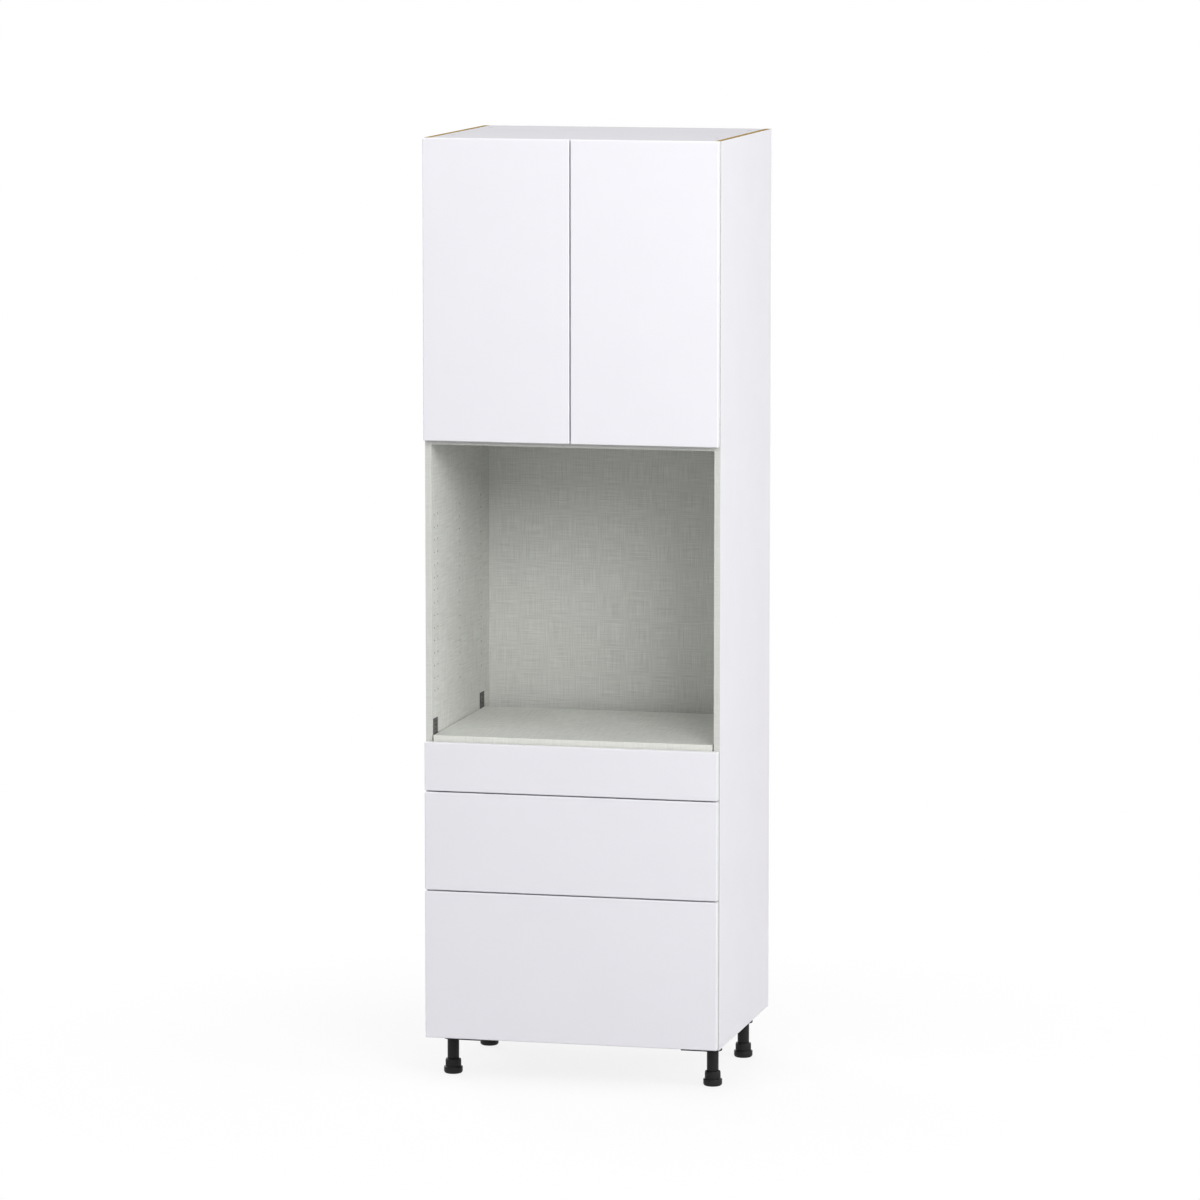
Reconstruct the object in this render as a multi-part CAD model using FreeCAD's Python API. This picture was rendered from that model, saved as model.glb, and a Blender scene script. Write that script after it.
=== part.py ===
"""Oven pantry cabinet: a tall frameless kitchen unit on levelling legs.

Three drawers stand below an open oven bay, and a cupboard with a pair of doors stands above it.
Millimetres. +X is right, +Y is back, +Z is up, and the origin is on the floor below the middle.
"""
import FreeCAD
import Part
import math
import os

from FreeCAD import Vector

# Carcass
CABINET_WIDTH = 760.4
CARCASS_DEPTH = 603.0
PANEL = 15.9
LEG_HEIGHT = 113.0

# Heights of the front modules, from the bottom up
BOTTOM_DRAWER_MODULE = 381.0
MIDDLE_DRAWER_MODULE = 254.0
TOP_DRAWER_MODULE = 127.0
OVEN_MODULE = 762.0
CUPBOARD_MODULE = 762.0

# Slab fronts
FRONT_THICKNESS = 19.0
FRONT_STANDOFF = 4.0
FRONT_JOINT = 3.2
SIDE_REVEAL = 1.6
EDGE_ROUND = 1.0

# Back panel in its grooves, and the rails behind it
BACK_THICKNESS = 6.4
GROOVE_DEPTH = 6.0
GROOVE_PLAY = 0.15
BACK_TO_RAIL = 0.3
RAIL_HEIGHT = 100.0
WALL_SCREW_SPACING = 406.4
WALL_SCREW_RADIUS = 2.75

# Loose oven shelf on four steel brackets
OVEN_SHELF_LAP = 0.9
OVEN_SHELF_DEPTH = 520.0
OVEN_SHELF_END_GAP = 3.3
BRACKET_SHEET = 2.0
BRACKET_WIDTH = 40.0
BRACKET_RISE = 40.0
BRACKET_TONGUE = 40.0
BRACKET_SETBACK = 10.0
BRACKET_BEND = 3.0

# Rows of system holes in the sides, which hinges and shelf pins are set to
ROW_PITCH = 32.0

# Adjustable cupboard shelves on plug-in steel pins
SHELF_NAMES = ("lower", "upper")
SHELF_SETBACK = 24.0
SHELF_END_GAP = 1.5
SHELF_BACK_GAP = 3.0
PIN_RADIUS = 2.5
PIN_DEPTH = 10.0
PIN_REACH = 10.0
PIN_HOLE_EXTRA = 2.0
PIN_ROW_SETBACK = 52.0
PIN_ROW_SPACING = 448.0

# Cam fittings that draw the top panel to the sides
CAM_RADIUS = 7.5
CAM_LENGTH = 12.5
CAM_FROM_END = 24.0
CAM_SETBACK = 133.0
CAM_FROM_BACK = 63.4

# Levelling legs
LEG_FROM_SIDE = 40.1
LEG_SETBACK = 108.9
LEG_SPACING = 370.5
BASE_RADIUS = 24.0
BASE_REACH = 78.0
BASE_HEIGHT = 22.0
BASE_PLATE = 4.0
BASE_WALL = 2.5
TUBE_RADIUS = 15.0
FOOT_RADIUS = 24.1
FOOT_DISC = 18.0
FOOT_CHAMFER = 5.0
FOOT_FLATS = 24
COLLAR_RADIUS = 20.2
COLLAR_HEIGHT = 20.0
THREAD_PLAY = 0.08
TUBE_TO_DISC = 1.0

# Concealed cup hinges, two on each door
HINGE_FROM_END = 100.0
CUP_RADIUS = 17.5
CUP_DEPTH = 12.5
CUP_WALL = 1.0
CUP_FROM_EDGE = 4.0
CUP_BORE_PLAY = 0.1
CUP_EAR_SPACING = 24.0
CUP_EAR_OFFSET = 9.5
CUP_EAR_HALF = 5.5
CUP_FLANGE = 1.2
PIVOT_FROM_EDGE = 8.3
PIVOT_DEPTH = 8.5
PIVOT_RADIUS = 1.25
PIVOT_PLAY = 0.05
EYE_RADIUS = 2.4
NECK_WIDTH = 8.0
NECK_SHEET = 2.6
NECK_PLAY = 0.4
NECK_BEND = 2.2
NECK_DROP = 0.5
CHEEK = 2.4
CHEEK_HALF = 2.6
ARM_WIDTH = 16.0
ARM_SHEET = 1.5
ARM_HEIGHT = 9.0
ARM_SETBACK = 3.0
ARM_LENGTH = 57.0
ARM_NOSE = 7.0
PLATE_SHEET = 3.0
PLATE_SETBACK = 8.0
PLATE_LENGTH = 56.0
SPINE_WIDTH = 8.0
SPINE_SETBACK = 27.0
SPINE_LENGTH = 18.0
ARM_TO_PLATE = 0.3

# Drawer boxes
BOX_LENGTH = 508.0
BOX_SIDE = 12.7
BOX_BOTTOM = 6.4
BOX_GROOVE = 6.0
BOX_GROOVE_RISE = 10.0
BOX_GROOVE_PLAY = 0.1
BOX_LIFT = 24.8
BOTTOM_BOX_HEIGHT = 250.0
MIDDLE_BOX_HEIGHT = 170.0
TOP_BOX_HEIGHT = 75.0

# Telescopic slides, one on each side of a drawer box
SLIDE_WIDTH = 12.7
SLIDE_HEIGHT = 45.0
SLIDE_LENGTH = 500.0
SLIDE_SETBACK = 3.0
SLIDE_SHEET = 1.2
SLIDE_PLAY = 0.4
SLIDE_BEND = 3.0
SLIDE_LIP_GAP = 0.6
SLIDE_RISE = 37.5

# Planes that follow from the sizes above
OUTER_X = CABINET_WIDTH / 2
INNER_X = OUTER_X - PANEL
FRONT_EDGE_X = OUTER_X - SIDE_REVEAL
OVERALL_DEPTH = CARCASS_DEPTH + FRONT_STANDOFF + FRONT_THICKNESS
FACE_Y = -OVERALL_DEPTH / 2
FRONT_BACK_Y = FACE_Y + FRONT_THICKNESS
EDGE_Y = FRONT_BACK_Y + FRONT_STANDOFF
REAR_Y = OVERALL_DEPTH / 2
BACK_REAR_Y = REAR_Y - PANEL - BACK_TO_RAIL
BACK_FRONT_Y = BACK_REAR_Y - BACK_THICKNESS
BOX_Z = LEG_HEIGHT
MIDDLE_LINE_Z = BOX_Z + BOTTOM_DRAWER_MODULE
TOP_LINE_Z = MIDDLE_LINE_Z + MIDDLE_DRAWER_MODULE
OVEN_LINE_Z = TOP_LINE_Z + TOP_DRAWER_MODULE
CUPBOARD_LINE_Z = OVEN_LINE_Z + OVEN_MODULE
TOP_Z = CUPBOARD_LINE_Z + CUPBOARD_MODULE
OVEN_SHELF_Z = OVEN_LINE_Z - OVEN_SHELF_LAP
CUPBOARD_FLOOR_Z = CUPBOARD_LINE_Z - PANEL / 2
CUPBOARD_FLOOR_TOP_Z = CUPBOARD_FLOOR_Z + PANEL
DOOR_Z = CUPBOARD_LINE_Z + FRONT_JOINT
HINGE_ROWS_APART = math.floor((TOP_Z - DOOR_Z - 2 * HINGE_FROM_END) / ROW_PITCH)
LOW_HINGE_Z = (DOOR_Z + TOP_Z - HINGE_ROWS_APART * ROW_PITCH) / 2
HINGE_LEVELS = (LOW_HINGE_Z, LOW_HINGE_Z + HINGE_ROWS_APART * ROW_PITCH)
SHELF_COUNT = len(SHELF_NAMES)
SHELF_SPACE = (TOP_Z - PANEL - CUPBOARD_FLOOR_TOP_Z - SHELF_COUNT * PANEL) / (SHELF_COUNT + 1)
LEG_X = OUTER_X - LEG_FROM_SIDE
LEG_ROWS = (EDGE_Y + LEG_SETBACK, EDGE_Y + LEG_SETBACK + LEG_SPACING)
CAM_X = INNER_X - CAM_FROM_END
CAM_ROWS = (EDGE_Y + CAM_SETBACK, BACK_FRONT_Y - CAM_FROM_BACK)
PIN_ROWS = (EDGE_Y + PIN_ROW_SETBACK, EDGE_Y + PIN_ROW_SETBACK + PIN_ROW_SPACING)
WALL_SCREW_Z = TOP_Z - PANEL - RAIL_HEIGHT / 2
PIVOT_X = FRONT_EDGE_X - PIVOT_FROM_EDGE
PIVOT_Y = FRONT_BACK_Y - PIVOT_DEPTH
CUP_X = FRONT_EDGE_X - CUP_FROM_EDGE - CUP_RADIUS
BOX_X = INNER_X - SLIDE_WIDTH

UP = Vector(0, 0, 1)
BACKWARD = Vector(0, 1, 0)
RIGHT = Vector(1, 0, 0)
SIDES = (-1, 1)


def block(x, y, z):
    """A box between two limits on each axis."""
    return Part.makeBox(x[1] - x[0], y[1] - y[0], z[1] - z[0], Vector(x[0], y[0], z[0]))


def rod(radius, start, direction, length):
    """A round bar that runs from start along direction."""
    return Part.makeCylinder(radius, length, start, direction)


def mirrored(shape):
    """The left-hand twin of a right-hand piece."""
    return shape.mirror(Vector(0, 0, 0), RIGHT)


def handed(shape, side):
    """The piece as modelled on the right, or its twin on the left."""
    return shape if side > 0 else mirrored(shape)


def rounded(shape, radius, chosen):
    """The shape with the edges that chosen accepts rounded."""
    return shape.makeFillet(radius, [edge for edge in shape.Edges if chosen(edge)])


def along(edge, axis):
    """Whether a straight edge runs along an axis."""
    ends = [vertex.Point for vertex in edge.Vertexes]
    return len(ends) == 2 and (ends[1] - ends[0]).cross(axis).Length < 1e-6


def strip(points, thickness):
    """A flat strip of even thickness that follows a bent line in the XY plane."""
    normals = []
    for start, end in zip(points, points[1:]):
        run = (end - start).normalize()
        normals.append(Vector(-run.y, run.x, 0))
    first, last = normals[0], normals[-1]
    offsets = [first]
    for before, after in zip(normals, normals[1:]):
        offsets.append((before + after) * (1 / (1 + before.dot(after))))
    offsets.append(last)
    left = [point + offset * (thickness / 2) for point, offset in zip(points, offsets)]
    right = [point - offset * (thickness / 2) for point, offset in zip(points, offsets)]
    outline = left + right[::-1]
    return Part.Face(Part.makePolygon(outline + outline[:1]))


def cam_fittings():
    """Four cams in the upper face of the top panel, which are also the shape of their seats."""
    return [rod(CAM_RADIUS, Vector(side * CAM_X, y, TOP_Z - CAM_LENGTH), UP, CAM_LENGTH)
            for side in SIDES for y in CAM_ROWS]


def back_panel_space(play):
    """The back panel's volume in its four grooves, grown by a play on its faces."""
    reach = GROOVE_DEPTH if play else GROOVE_DEPTH - GROOVE_PLAY
    return block((-INNER_X - reach, INNER_X + reach),
                 (BACK_FRONT_Y - play, BACK_REAR_Y + play),
                 (BOX_Z + PANEL - reach, TOP_Z - PANEL + reach))


def wall_screw_holes():
    """Two holes through the upper rail and the back panel, one stud spacing apart."""
    start = BACK_FRONT_Y - GROOVE_DEPTH
    return [rod(WALL_SCREW_RADIUS, Vector(side * WALL_SCREW_SPACING / 2, start, WALL_SCREW_Z),
                BACKWARD, REAR_Y - start + GROOVE_DEPTH) for side in SIDES]


def pin_level(index):
    """The height of a shelf's pins: the row of holes nearest to an even share of the cupboard."""
    even = CUPBOARD_FLOOR_TOP_Z + index * (SHELF_SPACE + PANEL) + SHELF_SPACE - PIN_RADIUS
    return LOW_HINGE_Z + ROW_PITCH * round((even - LOW_HINGE_Z) / ROW_PITCH)


def pin_places():
    """Where the pins on the right-hand side leave its inner face."""
    return [Vector(INNER_X, y, pin_level(index)) for index in range(SHELF_COUNT) for y in PIN_ROWS]


def shelf_pins():
    """Straight pins, two on each side below each adjustable shelf."""
    return [handed(rod(PIN_RADIUS, place - RIGHT * PIN_REACH, RIGHT, PIN_REACH + PIN_DEPTH), side)
            for place in pin_places() for side in SIDES]


def side_panel():
    """The right side: grooved for the back, bored for the shelf pins."""
    panel = block((INNER_X, OUTER_X), (EDGE_Y, REAR_Y), (BOX_Z, TOP_Z))
    holes = [rod(PIN_RADIUS, place, RIGHT, PIN_DEPTH + PIN_HOLE_EXTRA) for place in pin_places()]
    return panel.cut([back_panel_space(GROOVE_PLAY)] + holes)


def fixed_panel(z, depth_end):
    """A panel between the sides, from the front edges to depth_end."""
    return block((-INNER_X, INNER_X), (EDGE_Y, depth_end), (z, z + PANEL))


def rear_rail(z):
    """A rail behind the back panel, flush with the rear edges of the sides."""
    return block((-INNER_X, INNER_X), (REAR_Y - PANEL, REAR_Y), (z, z + RAIL_HEIGHT))


def oven_shelf():
    """The loose deck that carries the oven, with a vent gap behind it."""
    reach = INNER_X - OVEN_SHELF_END_GAP
    return block((-reach, reach), (EDGE_Y, EDGE_Y + OVEN_SHELF_DEPTH),
                 (OVEN_SHELF_Z, OVEN_SHELF_Z + PANEL))


def oven_shelf_bracket(y):
    """A bent steel bracket on the right: a leaf up the wall and a tongue below the shelf."""
    low = OVEN_SHELF_Z - BRACKET_SHEET
    high = OVEN_SHELF_Z + PANEL + BRACKET_RISE
    width = (y, y + BRACKET_WIDTH)
    angle = block((INNER_X - BRACKET_SHEET - BRACKET_TONGUE, INNER_X), width, (low, high))
    angle = rounded(angle, BRACKET_BEND, lambda edge: along(edge, BACKWARD)
                    and edge.CenterOfMass.x > INNER_X - BRACKET_SHEET and edge.CenterOfMass.z < OVEN_SHELF_Z)
    hollow = block((INNER_X - 2 * BRACKET_TONGUE, INNER_X - BRACKET_SHEET), width,
                   (OVEN_SHELF_Z, high + BRACKET_RISE))
    hollow = rounded(hollow, BRACKET_BEND - BRACKET_SHEET, lambda edge: along(edge, BACKWARD)
                     and edge.CenterOfMass.x > INNER_X - BRACKET_TONGUE and edge.CenterOfMass.z < high)
    return angle.cut(hollow)


def oven_shelf_brackets():
    """Four brackets, near the front and the rear corners of the shelf."""
    rows = (EDGE_Y + BRACKET_SETBACK, EDGE_Y + OVEN_SHELF_DEPTH - BRACKET_WIDTH)
    return [handed(oven_shelf_bracket(y), side) for y in rows for side in SIDES]


def cupboard_shelf(index):
    """An adjustable shelf that lies on four pins."""
    reach = INNER_X - SHELF_END_GAP
    z = pin_level(index) + PIN_RADIUS
    return block((-reach, reach), (EDGE_Y + SHELF_SETBACK, BACK_FRONT_Y - SHELF_BACK_GAP), (z, z + PANEL))


def leg_base(y):
    """A moulded leg base on the right: a plate with a skirt, open below, round the leg and inwards."""
    low = BOX_Z - BASE_HEIGHT

    def outline(radius, reach, height):
        head = rod(radius, Vector(LEG_X, y, low), UP, height)
        arm = block((LEG_X - reach, LEG_X), (y - radius, y + radius), (low, low + height))
        return head.fuse(arm).removeSplitter()

    hollow = outline(BASE_RADIUS - BASE_WALL, BASE_REACH - BASE_WALL, BASE_HEIGHT - BASE_PLATE)
    return outline(BASE_RADIUS, BASE_REACH, BASE_HEIGHT).cut(hollow)


def leg_tube(y):
    """The leg on the right, from the base's plate down into the foot's collar."""
    bottom = FOOT_DISC + TUBE_TO_DISC
    return rod(TUBE_RADIUS, Vector(LEG_X, y, bottom), UP, BOX_Z - BASE_PLATE - bottom)


def flats(y, radius, z):
    """The corners between the flats of a foot on the right, at one height."""
    turns = [2 * math.pi * flat / FOOT_FLATS for flat in range(FOOT_FLATS)]
    return [Vector(LEG_X + radius * math.cos(turn), y + radius * math.sin(turn), z) for turn in turns]


def grip(lower, upper):
    """A tier of a foot between two rings of corners, round but for the flats that fingers turn it by."""
    outlines = [lower, upper]
    for flat in range(FOOT_FLATS):
        outlines.append([lower[flat - 1], lower[flat], upper[flat], upper[flat - 1]])
    faces = [Part.Face(Part.makePolygon(outline + outline[:1])) for outline in outlines]
    return Part.Solid(Part.makeShell(faces))


def levelling_foot(y):
    """The foot on the right: a disc with a sloped rim below, and a collar that turns on the leg."""
    top = FOOT_DISC + COLLAR_HEIGHT
    rim = grip(flats(y, FOOT_RADIUS - FOOT_CHAMFER, 0), flats(y, FOOT_RADIUS, FOOT_CHAMFER))
    disc = grip(flats(y, FOOT_RADIUS, FOOT_CHAMFER), flats(y, FOOT_RADIUS, FOOT_DISC))
    collar = grip(flats(y, COLLAR_RADIUS, FOOT_DISC), flats(y, COLLAR_RADIUS, top))
    bore = rod(TUBE_RADIUS + THREAD_PLAY, Vector(LEG_X, y, FOOT_DISC), UP, COLLAR_HEIGHT)
    return rim.fuse([disc, collar]).cut(bore).removeSplitter()


def slab_front(x, z):
    """A slab front with its face edges softened."""
    slab = block(x, (FACE_Y, FRONT_BACK_Y), z)
    return rounded(slab, EDGE_ROUND, lambda edge: edge.BoundBox.YMax < FACE_Y + EDGE_ROUND)


def right_door():
    """The right door, bored from behind for its hinge cups."""
    door = slab_front((FRONT_JOINT / 2, FRONT_EDGE_X), (DOOR_Z, TOP_Z))
    depth = CUP_DEPTH + CUP_BORE_PLAY
    bores = [rod(CUP_RADIUS + CUP_BORE_PLAY, Vector(CUP_X, FRONT_BACK_Y - depth, z), BACKWARD, depth)
             for z in HINGE_LEVELS]
    return door.cut(bores)


def hinge_cup(z):
    """A pressed cup on the right: its flange with two screw ears, and cheeks beside the pivot."""
    mouth = Vector(CUP_X, FRONT_BACK_Y, z)
    inward = BACKWARD * -1
    inner = CUP_RADIUS - CUP_WALL
    floor_y = FRONT_BACK_Y - CUP_DEPTH + CUP_WALL
    cup = rod(CUP_RADIUS, mouth, inward, CUP_DEPTH)
    hollow = rod(inner, mouth, inward, CUP_DEPTH - CUP_WALL)
    ear_x = CUP_X - CUP_EAR_OFFSET
    flange = block((ear_x - CUP_EAR_HALF, ear_x + CUP_EAR_HALF), (FRONT_BACK_Y, FRONT_BACK_Y + CUP_FLANGE),
                   (z - CUP_EAR_SPACING - CUP_EAR_HALF, z + CUP_EAR_SPACING + CUP_EAR_HALF))
    flange = flange.cut(rod(inner, mouth, BACKWARD, CUP_FLANGE))
    gap = NECK_WIDTH / 2 + NECK_PLAY
    cheeks = []
    for turn in SIDES:
        post = block((PIVOT_X - CHEEK_HALF, PIVOT_X + CHEEK_HALF), (floor_y, PIVOT_Y + CHEEK_HALF),
                     sorted((z + turn * gap, z + turn * (gap + CHEEK))))
        cheeks.append(post.common(hollow))
    notch = block((PIVOT_X, CUP_X + CUP_RADIUS), (PIVOT_Y - EYE_RADIUS, FRONT_BACK_Y), (z - gap, z + gap))
    return cup.cut(hollow).cut(notch).fuse([flange] + cheeks).removeSplitter()


def hinge_pin(z):
    """The pivot pin on the right, from cheek to cheek through the arm's eye."""
    reach = NECK_WIDTH / 2 + NECK_PLAY
    return rod(PIVOT_RADIUS, Vector(PIVOT_X, PIVOT_Y, z - reach), UP, 2 * reach)


def hinge_arm(z):
    """A hinge arm on the right: a channel over its plate, and a bent neck that reaches into the cup."""
    web_x = INNER_X - PLATE_SHEET - ARM_TO_PLATE - ARM_HEIGHT
    start = EDGE_Y + ARM_SETBACK
    channel = block((web_x, web_x + ARM_HEIGHT), (start, start + ARM_LENGTH),
                    (z - ARM_WIDTH / 2, z + ARM_WIDTH / 2))
    inside = ARM_WIDTH / 2 - ARM_SHEET
    channel = channel.cut(block((web_x + ARM_SHEET, INNER_X), (start + ARM_NOSE, start + ARM_LENGTH),
                                (z - inside, z + inside)))
    root = Vector(web_x + NECK_SHEET, start + ARM_NOSE / 2, 0)
    bottom = PIVOT_Y + PIVOT_RADIUS + PIVOT_PLAY - EYE_RADIUS
    elbow = Vector(CUP_X + NECK_BEND, bottom + NECK_DROP, 0)
    lines = [Vector(PIVOT_X, bottom, 0), elbow, elbow + Vector(-NECK_BEND, NECK_BEND, 0), root]
    neck = strip(lines, NECK_SHEET).extrude(UP * NECK_WIDTH)
    neck.translate(UP * (z - NECK_WIDTH / 2))
    eye = rod(EYE_RADIUS, Vector(PIVOT_X, PIVOT_Y, z - NECK_WIDTH / 2), UP, NECK_WIDTH)
    arm = channel.fuse([neck, eye]).removeSplitter()
    bore = rod(PIVOT_RADIUS + PIVOT_PLAY, Vector(PIVOT_X, PIVOT_Y, z - NECK_WIDTH), UP, 2 * NECK_WIDTH)
    return arm.cut(bore)


def hinge_plate(z):
    """A mounting plate on the right side, with a spine that carries the arm."""
    start = EDGE_Y + PLATE_SETBACK
    sheet = block((INNER_X - PLATE_SHEET, INNER_X), (start, start + PLATE_LENGTH),
                  (z - ARM_WIDTH / 2, z + ARM_WIDTH / 2))
    spine_y = EDGE_Y + SPINE_SETBACK
    spine = block((INNER_X - PLATE_SHEET - ARM_TO_PLATE - ARM_HEIGHT + ARM_SHEET, INNER_X - PLATE_SHEET),
                  (spine_y, spine_y + SPINE_LENGTH), (z - SPINE_WIDTH / 2, z + SPINE_WIDTH / 2))
    return sheet.fuse(spine).removeSplitter()


def channel_bar(back_x, depth, height, z):
    """A rolled channel on the right with cut corners, open towards its depth (negative is inwards)."""
    step = math.copysign(1, depth)

    def half_outline(inset):
        back = back_x + step * inset
        half = height / 2 - inset
        cut = SLIDE_BEND - inset
        return [(back_x + depth, half), (back + step * cut, half), (back, half - cut)]

    outer, inner = half_outline(0), half_outline(SLIDE_SHEET)
    corners = outer + [(x, -rise) for x, rise in outer[::-1]]
    corners += [(x, -rise) for x, rise in inner] + inner[::-1]
    points = [Vector(x, EDGE_Y + SLIDE_SETBACK, z + rise) for x, rise in corners]
    return Part.Face(Part.makePolygon(points + points[:1])).extrude(BACKWARD * SLIDE_LENGTH)


def slide_members(z):
    """The cabinet, middle and drawer members of a right-hand slide, nested in each other."""
    step = SLIDE_SHEET + SLIDE_PLAY
    cabinet = channel_bar(INNER_X, -(SLIDE_WIDTH - SLIDE_SHEET - SLIDE_LIP_GAP), SLIDE_HEIGHT, z)
    middle_depth = SLIDE_WIDTH - step - SLIDE_SHEET - SLIDE_LIP_GAP
    middle = channel_bar(INNER_X - step, -middle_depth, SLIDE_HEIGHT - 2 * step, z)
    drawer_depth = SLIDE_WIDTH - 2 * step - SLIDE_BEND
    drawer = channel_bar(BOX_X, drawer_depth, SLIDE_HEIGHT - 4 * step, z)
    return cabinet, middle, drawer


def drawer_box(z, height):
    """The five-piece box of a drawer without its front, by piece."""
    rear = FRONT_BACK_Y + BOX_LENGTH
    inside = BOX_X - BOX_SIDE
    tall = (z, z + height)
    reach = BOX_GROOVE
    floor_z = z + BOX_GROOVE_RISE
    groove = block((-inside - reach, inside + reach),
                   (FRONT_BACK_Y + BOX_SIDE - reach, rear - BOX_SIDE + reach),
                   (floor_z - BOX_GROOVE_PLAY, floor_z + BOX_BOTTOM + BOX_GROOVE_PLAY))
    right = block((inside, BOX_X), (FRONT_BACK_Y, rear), tall).cut(groove)
    front = block((-inside, inside), (FRONT_BACK_Y, FRONT_BACK_Y + BOX_SIDE), tall).cut(groove)
    back = block((-inside, inside), (rear - BOX_SIDE, rear), tall).cut(groove)
    reach = BOX_GROOVE - BOX_GROOVE_PLAY
    floor = block((-inside - reach, inside + reach),
                  (FRONT_BACK_Y + BOX_SIDE - reach, rear - BOX_SIDE + reach), (floor_z, floor_z + BOX_BOTTOM))
    return {"left_side": mirrored(right), "right_side": right,
            "box_front": front, "box_back": back, "box_bottom": floor}


def carcass_nodes():
    """Everything that stands still."""
    right = side_panel()
    top_panel = fixed_panel(TOP_Z - PANEL, REAR_Y).cut([back_panel_space(GROOVE_PLAY)] + cam_fittings())
    bottom_panel = fixed_panel(BOX_Z, REAR_Y).cut(back_panel_space(GROOVE_PLAY))
    back = back_panel_space(0).cut(wall_screw_holes())
    return {
        "left_side_panel": [mirrored(right)],
        "right_side_panel": [right],
        "top_panel": [top_panel],
        "bottom_panel": [bottom_panel],
        "cupboard_floor": [fixed_panel(CUPBOARD_FLOOR_Z, BACK_FRONT_Y)],
        "oven_shelf": [oven_shelf()],
        "back_panel": [back],
        "upper_rear_rail": [rear_rail(TOP_Z - PANEL - RAIL_HEIGHT).cut(wall_screw_holes())],
        "middle_rear_rail": [rear_rail(CUPBOARD_LINE_Z - RAIL_HEIGHT / 2)],
        "lower_rear_rail": [rear_rail(BOX_Z + PANEL)],
        **{f"{name}_cupboard_shelf": [cupboard_shelf(index)] for index, name in enumerate(SHELF_NAMES)},
        "shelf_pins": shelf_pins(),
        "cam_fittings": cam_fittings(),
        "oven_shelf_brackets": oven_shelf_brackets(),
        "leg_bases": [handed(leg_base(y), side) for y in LEG_ROWS for side in SIDES],
        "leg_tubes": [handed(leg_tube(y), side) for y in LEG_ROWS for side in SIDES],
        "hinge_plates": [handed(hinge_plate(z), side) for z in HINGE_LEVELS for side in SIDES],
        "hinge_arms": [handed(hinge_arm(z), side) for z in HINGE_LEVELS for side in SIDES],
    }


def foot_nodes():
    """Four levelling feet, each on its own thread."""
    nodes = {}
    for row, y in zip(("front", "rear"), LEG_ROWS):
        for hand, side in zip(("left", "right"), SIDES):
            nodes[f"{row}_{hand}_foot"] = [handed(levelling_foot(y), side)]
    return nodes


def door_nodes():
    """Two doors with their hinge cups and pins."""
    nodes = {}
    for hand, side in zip(("left", "right"), SIDES):
        nodes[f"{hand}_door"] = [handed(right_door(), side)]
        nodes[f"{hand}_hinge_cups"] = [handed(hinge_cup(z), side) for z in HINGE_LEVELS]
        nodes[f"{hand}_hinge_pins"] = [handed(hinge_pin(z), side) for z in HINGE_LEVELS]
    return nodes


def drawer_nodes():
    """Three drawers on telescopic slides."""
    nodes = {}
    drawers = (("bottom", BOX_Z, BOTTOM_DRAWER_MODULE, BOTTOM_BOX_HEIGHT),
               ("middle", MIDDLE_LINE_Z, MIDDLE_DRAWER_MODULE, MIDDLE_BOX_HEIGHT),
               ("top", TOP_LINE_Z, TOP_DRAWER_MODULE, TOP_BOX_HEIGHT))
    for name, line_z, module, height in drawers:
        front_z = line_z + FRONT_JOINT
        box_z = front_z + BOX_LIFT
        front = slab_front((-FRONT_EDGE_X, FRONT_EDGE_X), (front_z, line_z + module))
        nodes[f"{name}_drawer_front"] = [front]
        for piece, solid in drawer_box(box_z, height).items():
            nodes[f"{name}_drawer_{piece}"] = [solid]
        members = slide_members(box_z + SLIDE_RISE)
        for member, solid in zip(("cabinet", "middle", "drawer"), members):
            nodes[f"{name}_slide_{member}_members"] = [mirrored(solid), solid]
    return nodes


def main():
    """Write one file for each node."""
    os.makedirs("parts", exist_ok=True)
    nodes = {**carcass_nodes(), **foot_nodes(), **door_nodes(), **drawer_nodes()}
    for name, solids in nodes.items():
        shape = solids[0] if len(solids) == 1 else Part.makeCompound(solids)
        shape.exportStep(f"parts/{name}.step")


main()
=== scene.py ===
"""Looks of a tall oven pantry cabinet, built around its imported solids.

Metres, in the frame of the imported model: +X is right, +Y is back, +Z is up, and the fronts face -Y.
"""

import bmesh
import bpy
import logging
import math
from bmesh.types import BMEdge, BMesh
from bpy.types import ID, Material, Mesh, Node, NodeOutputs, NodeSocket, NodeTree, Object
from dataclasses import dataclass, field
from enum import Enum
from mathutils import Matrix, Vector
from typing import Optional, Sequence, Union


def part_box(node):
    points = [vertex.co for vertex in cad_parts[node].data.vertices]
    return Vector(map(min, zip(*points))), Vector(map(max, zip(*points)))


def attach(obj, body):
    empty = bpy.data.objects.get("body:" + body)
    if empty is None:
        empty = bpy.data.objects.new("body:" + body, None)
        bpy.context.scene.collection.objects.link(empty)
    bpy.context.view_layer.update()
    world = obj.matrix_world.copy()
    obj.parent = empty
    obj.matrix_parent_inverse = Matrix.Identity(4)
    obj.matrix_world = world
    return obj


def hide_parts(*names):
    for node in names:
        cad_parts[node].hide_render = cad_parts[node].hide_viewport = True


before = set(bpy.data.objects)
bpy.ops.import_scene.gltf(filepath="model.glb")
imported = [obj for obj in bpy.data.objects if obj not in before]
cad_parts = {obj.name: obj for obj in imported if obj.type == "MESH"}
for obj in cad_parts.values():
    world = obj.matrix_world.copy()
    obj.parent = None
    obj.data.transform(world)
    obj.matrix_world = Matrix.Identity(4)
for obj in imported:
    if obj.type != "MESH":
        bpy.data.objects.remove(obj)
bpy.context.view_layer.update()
LOG = logging.getLogger("oven_pantry_cabinet")
MM = 0.001
SLIGHT = 0.01 * MM
MERGE = 0.001 * MM
FLAT = math.radians(1)
SHARP = math.radians(30)
CREASE = math.radians(32)
WHITE = (1, 1, 1, 1)
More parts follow.
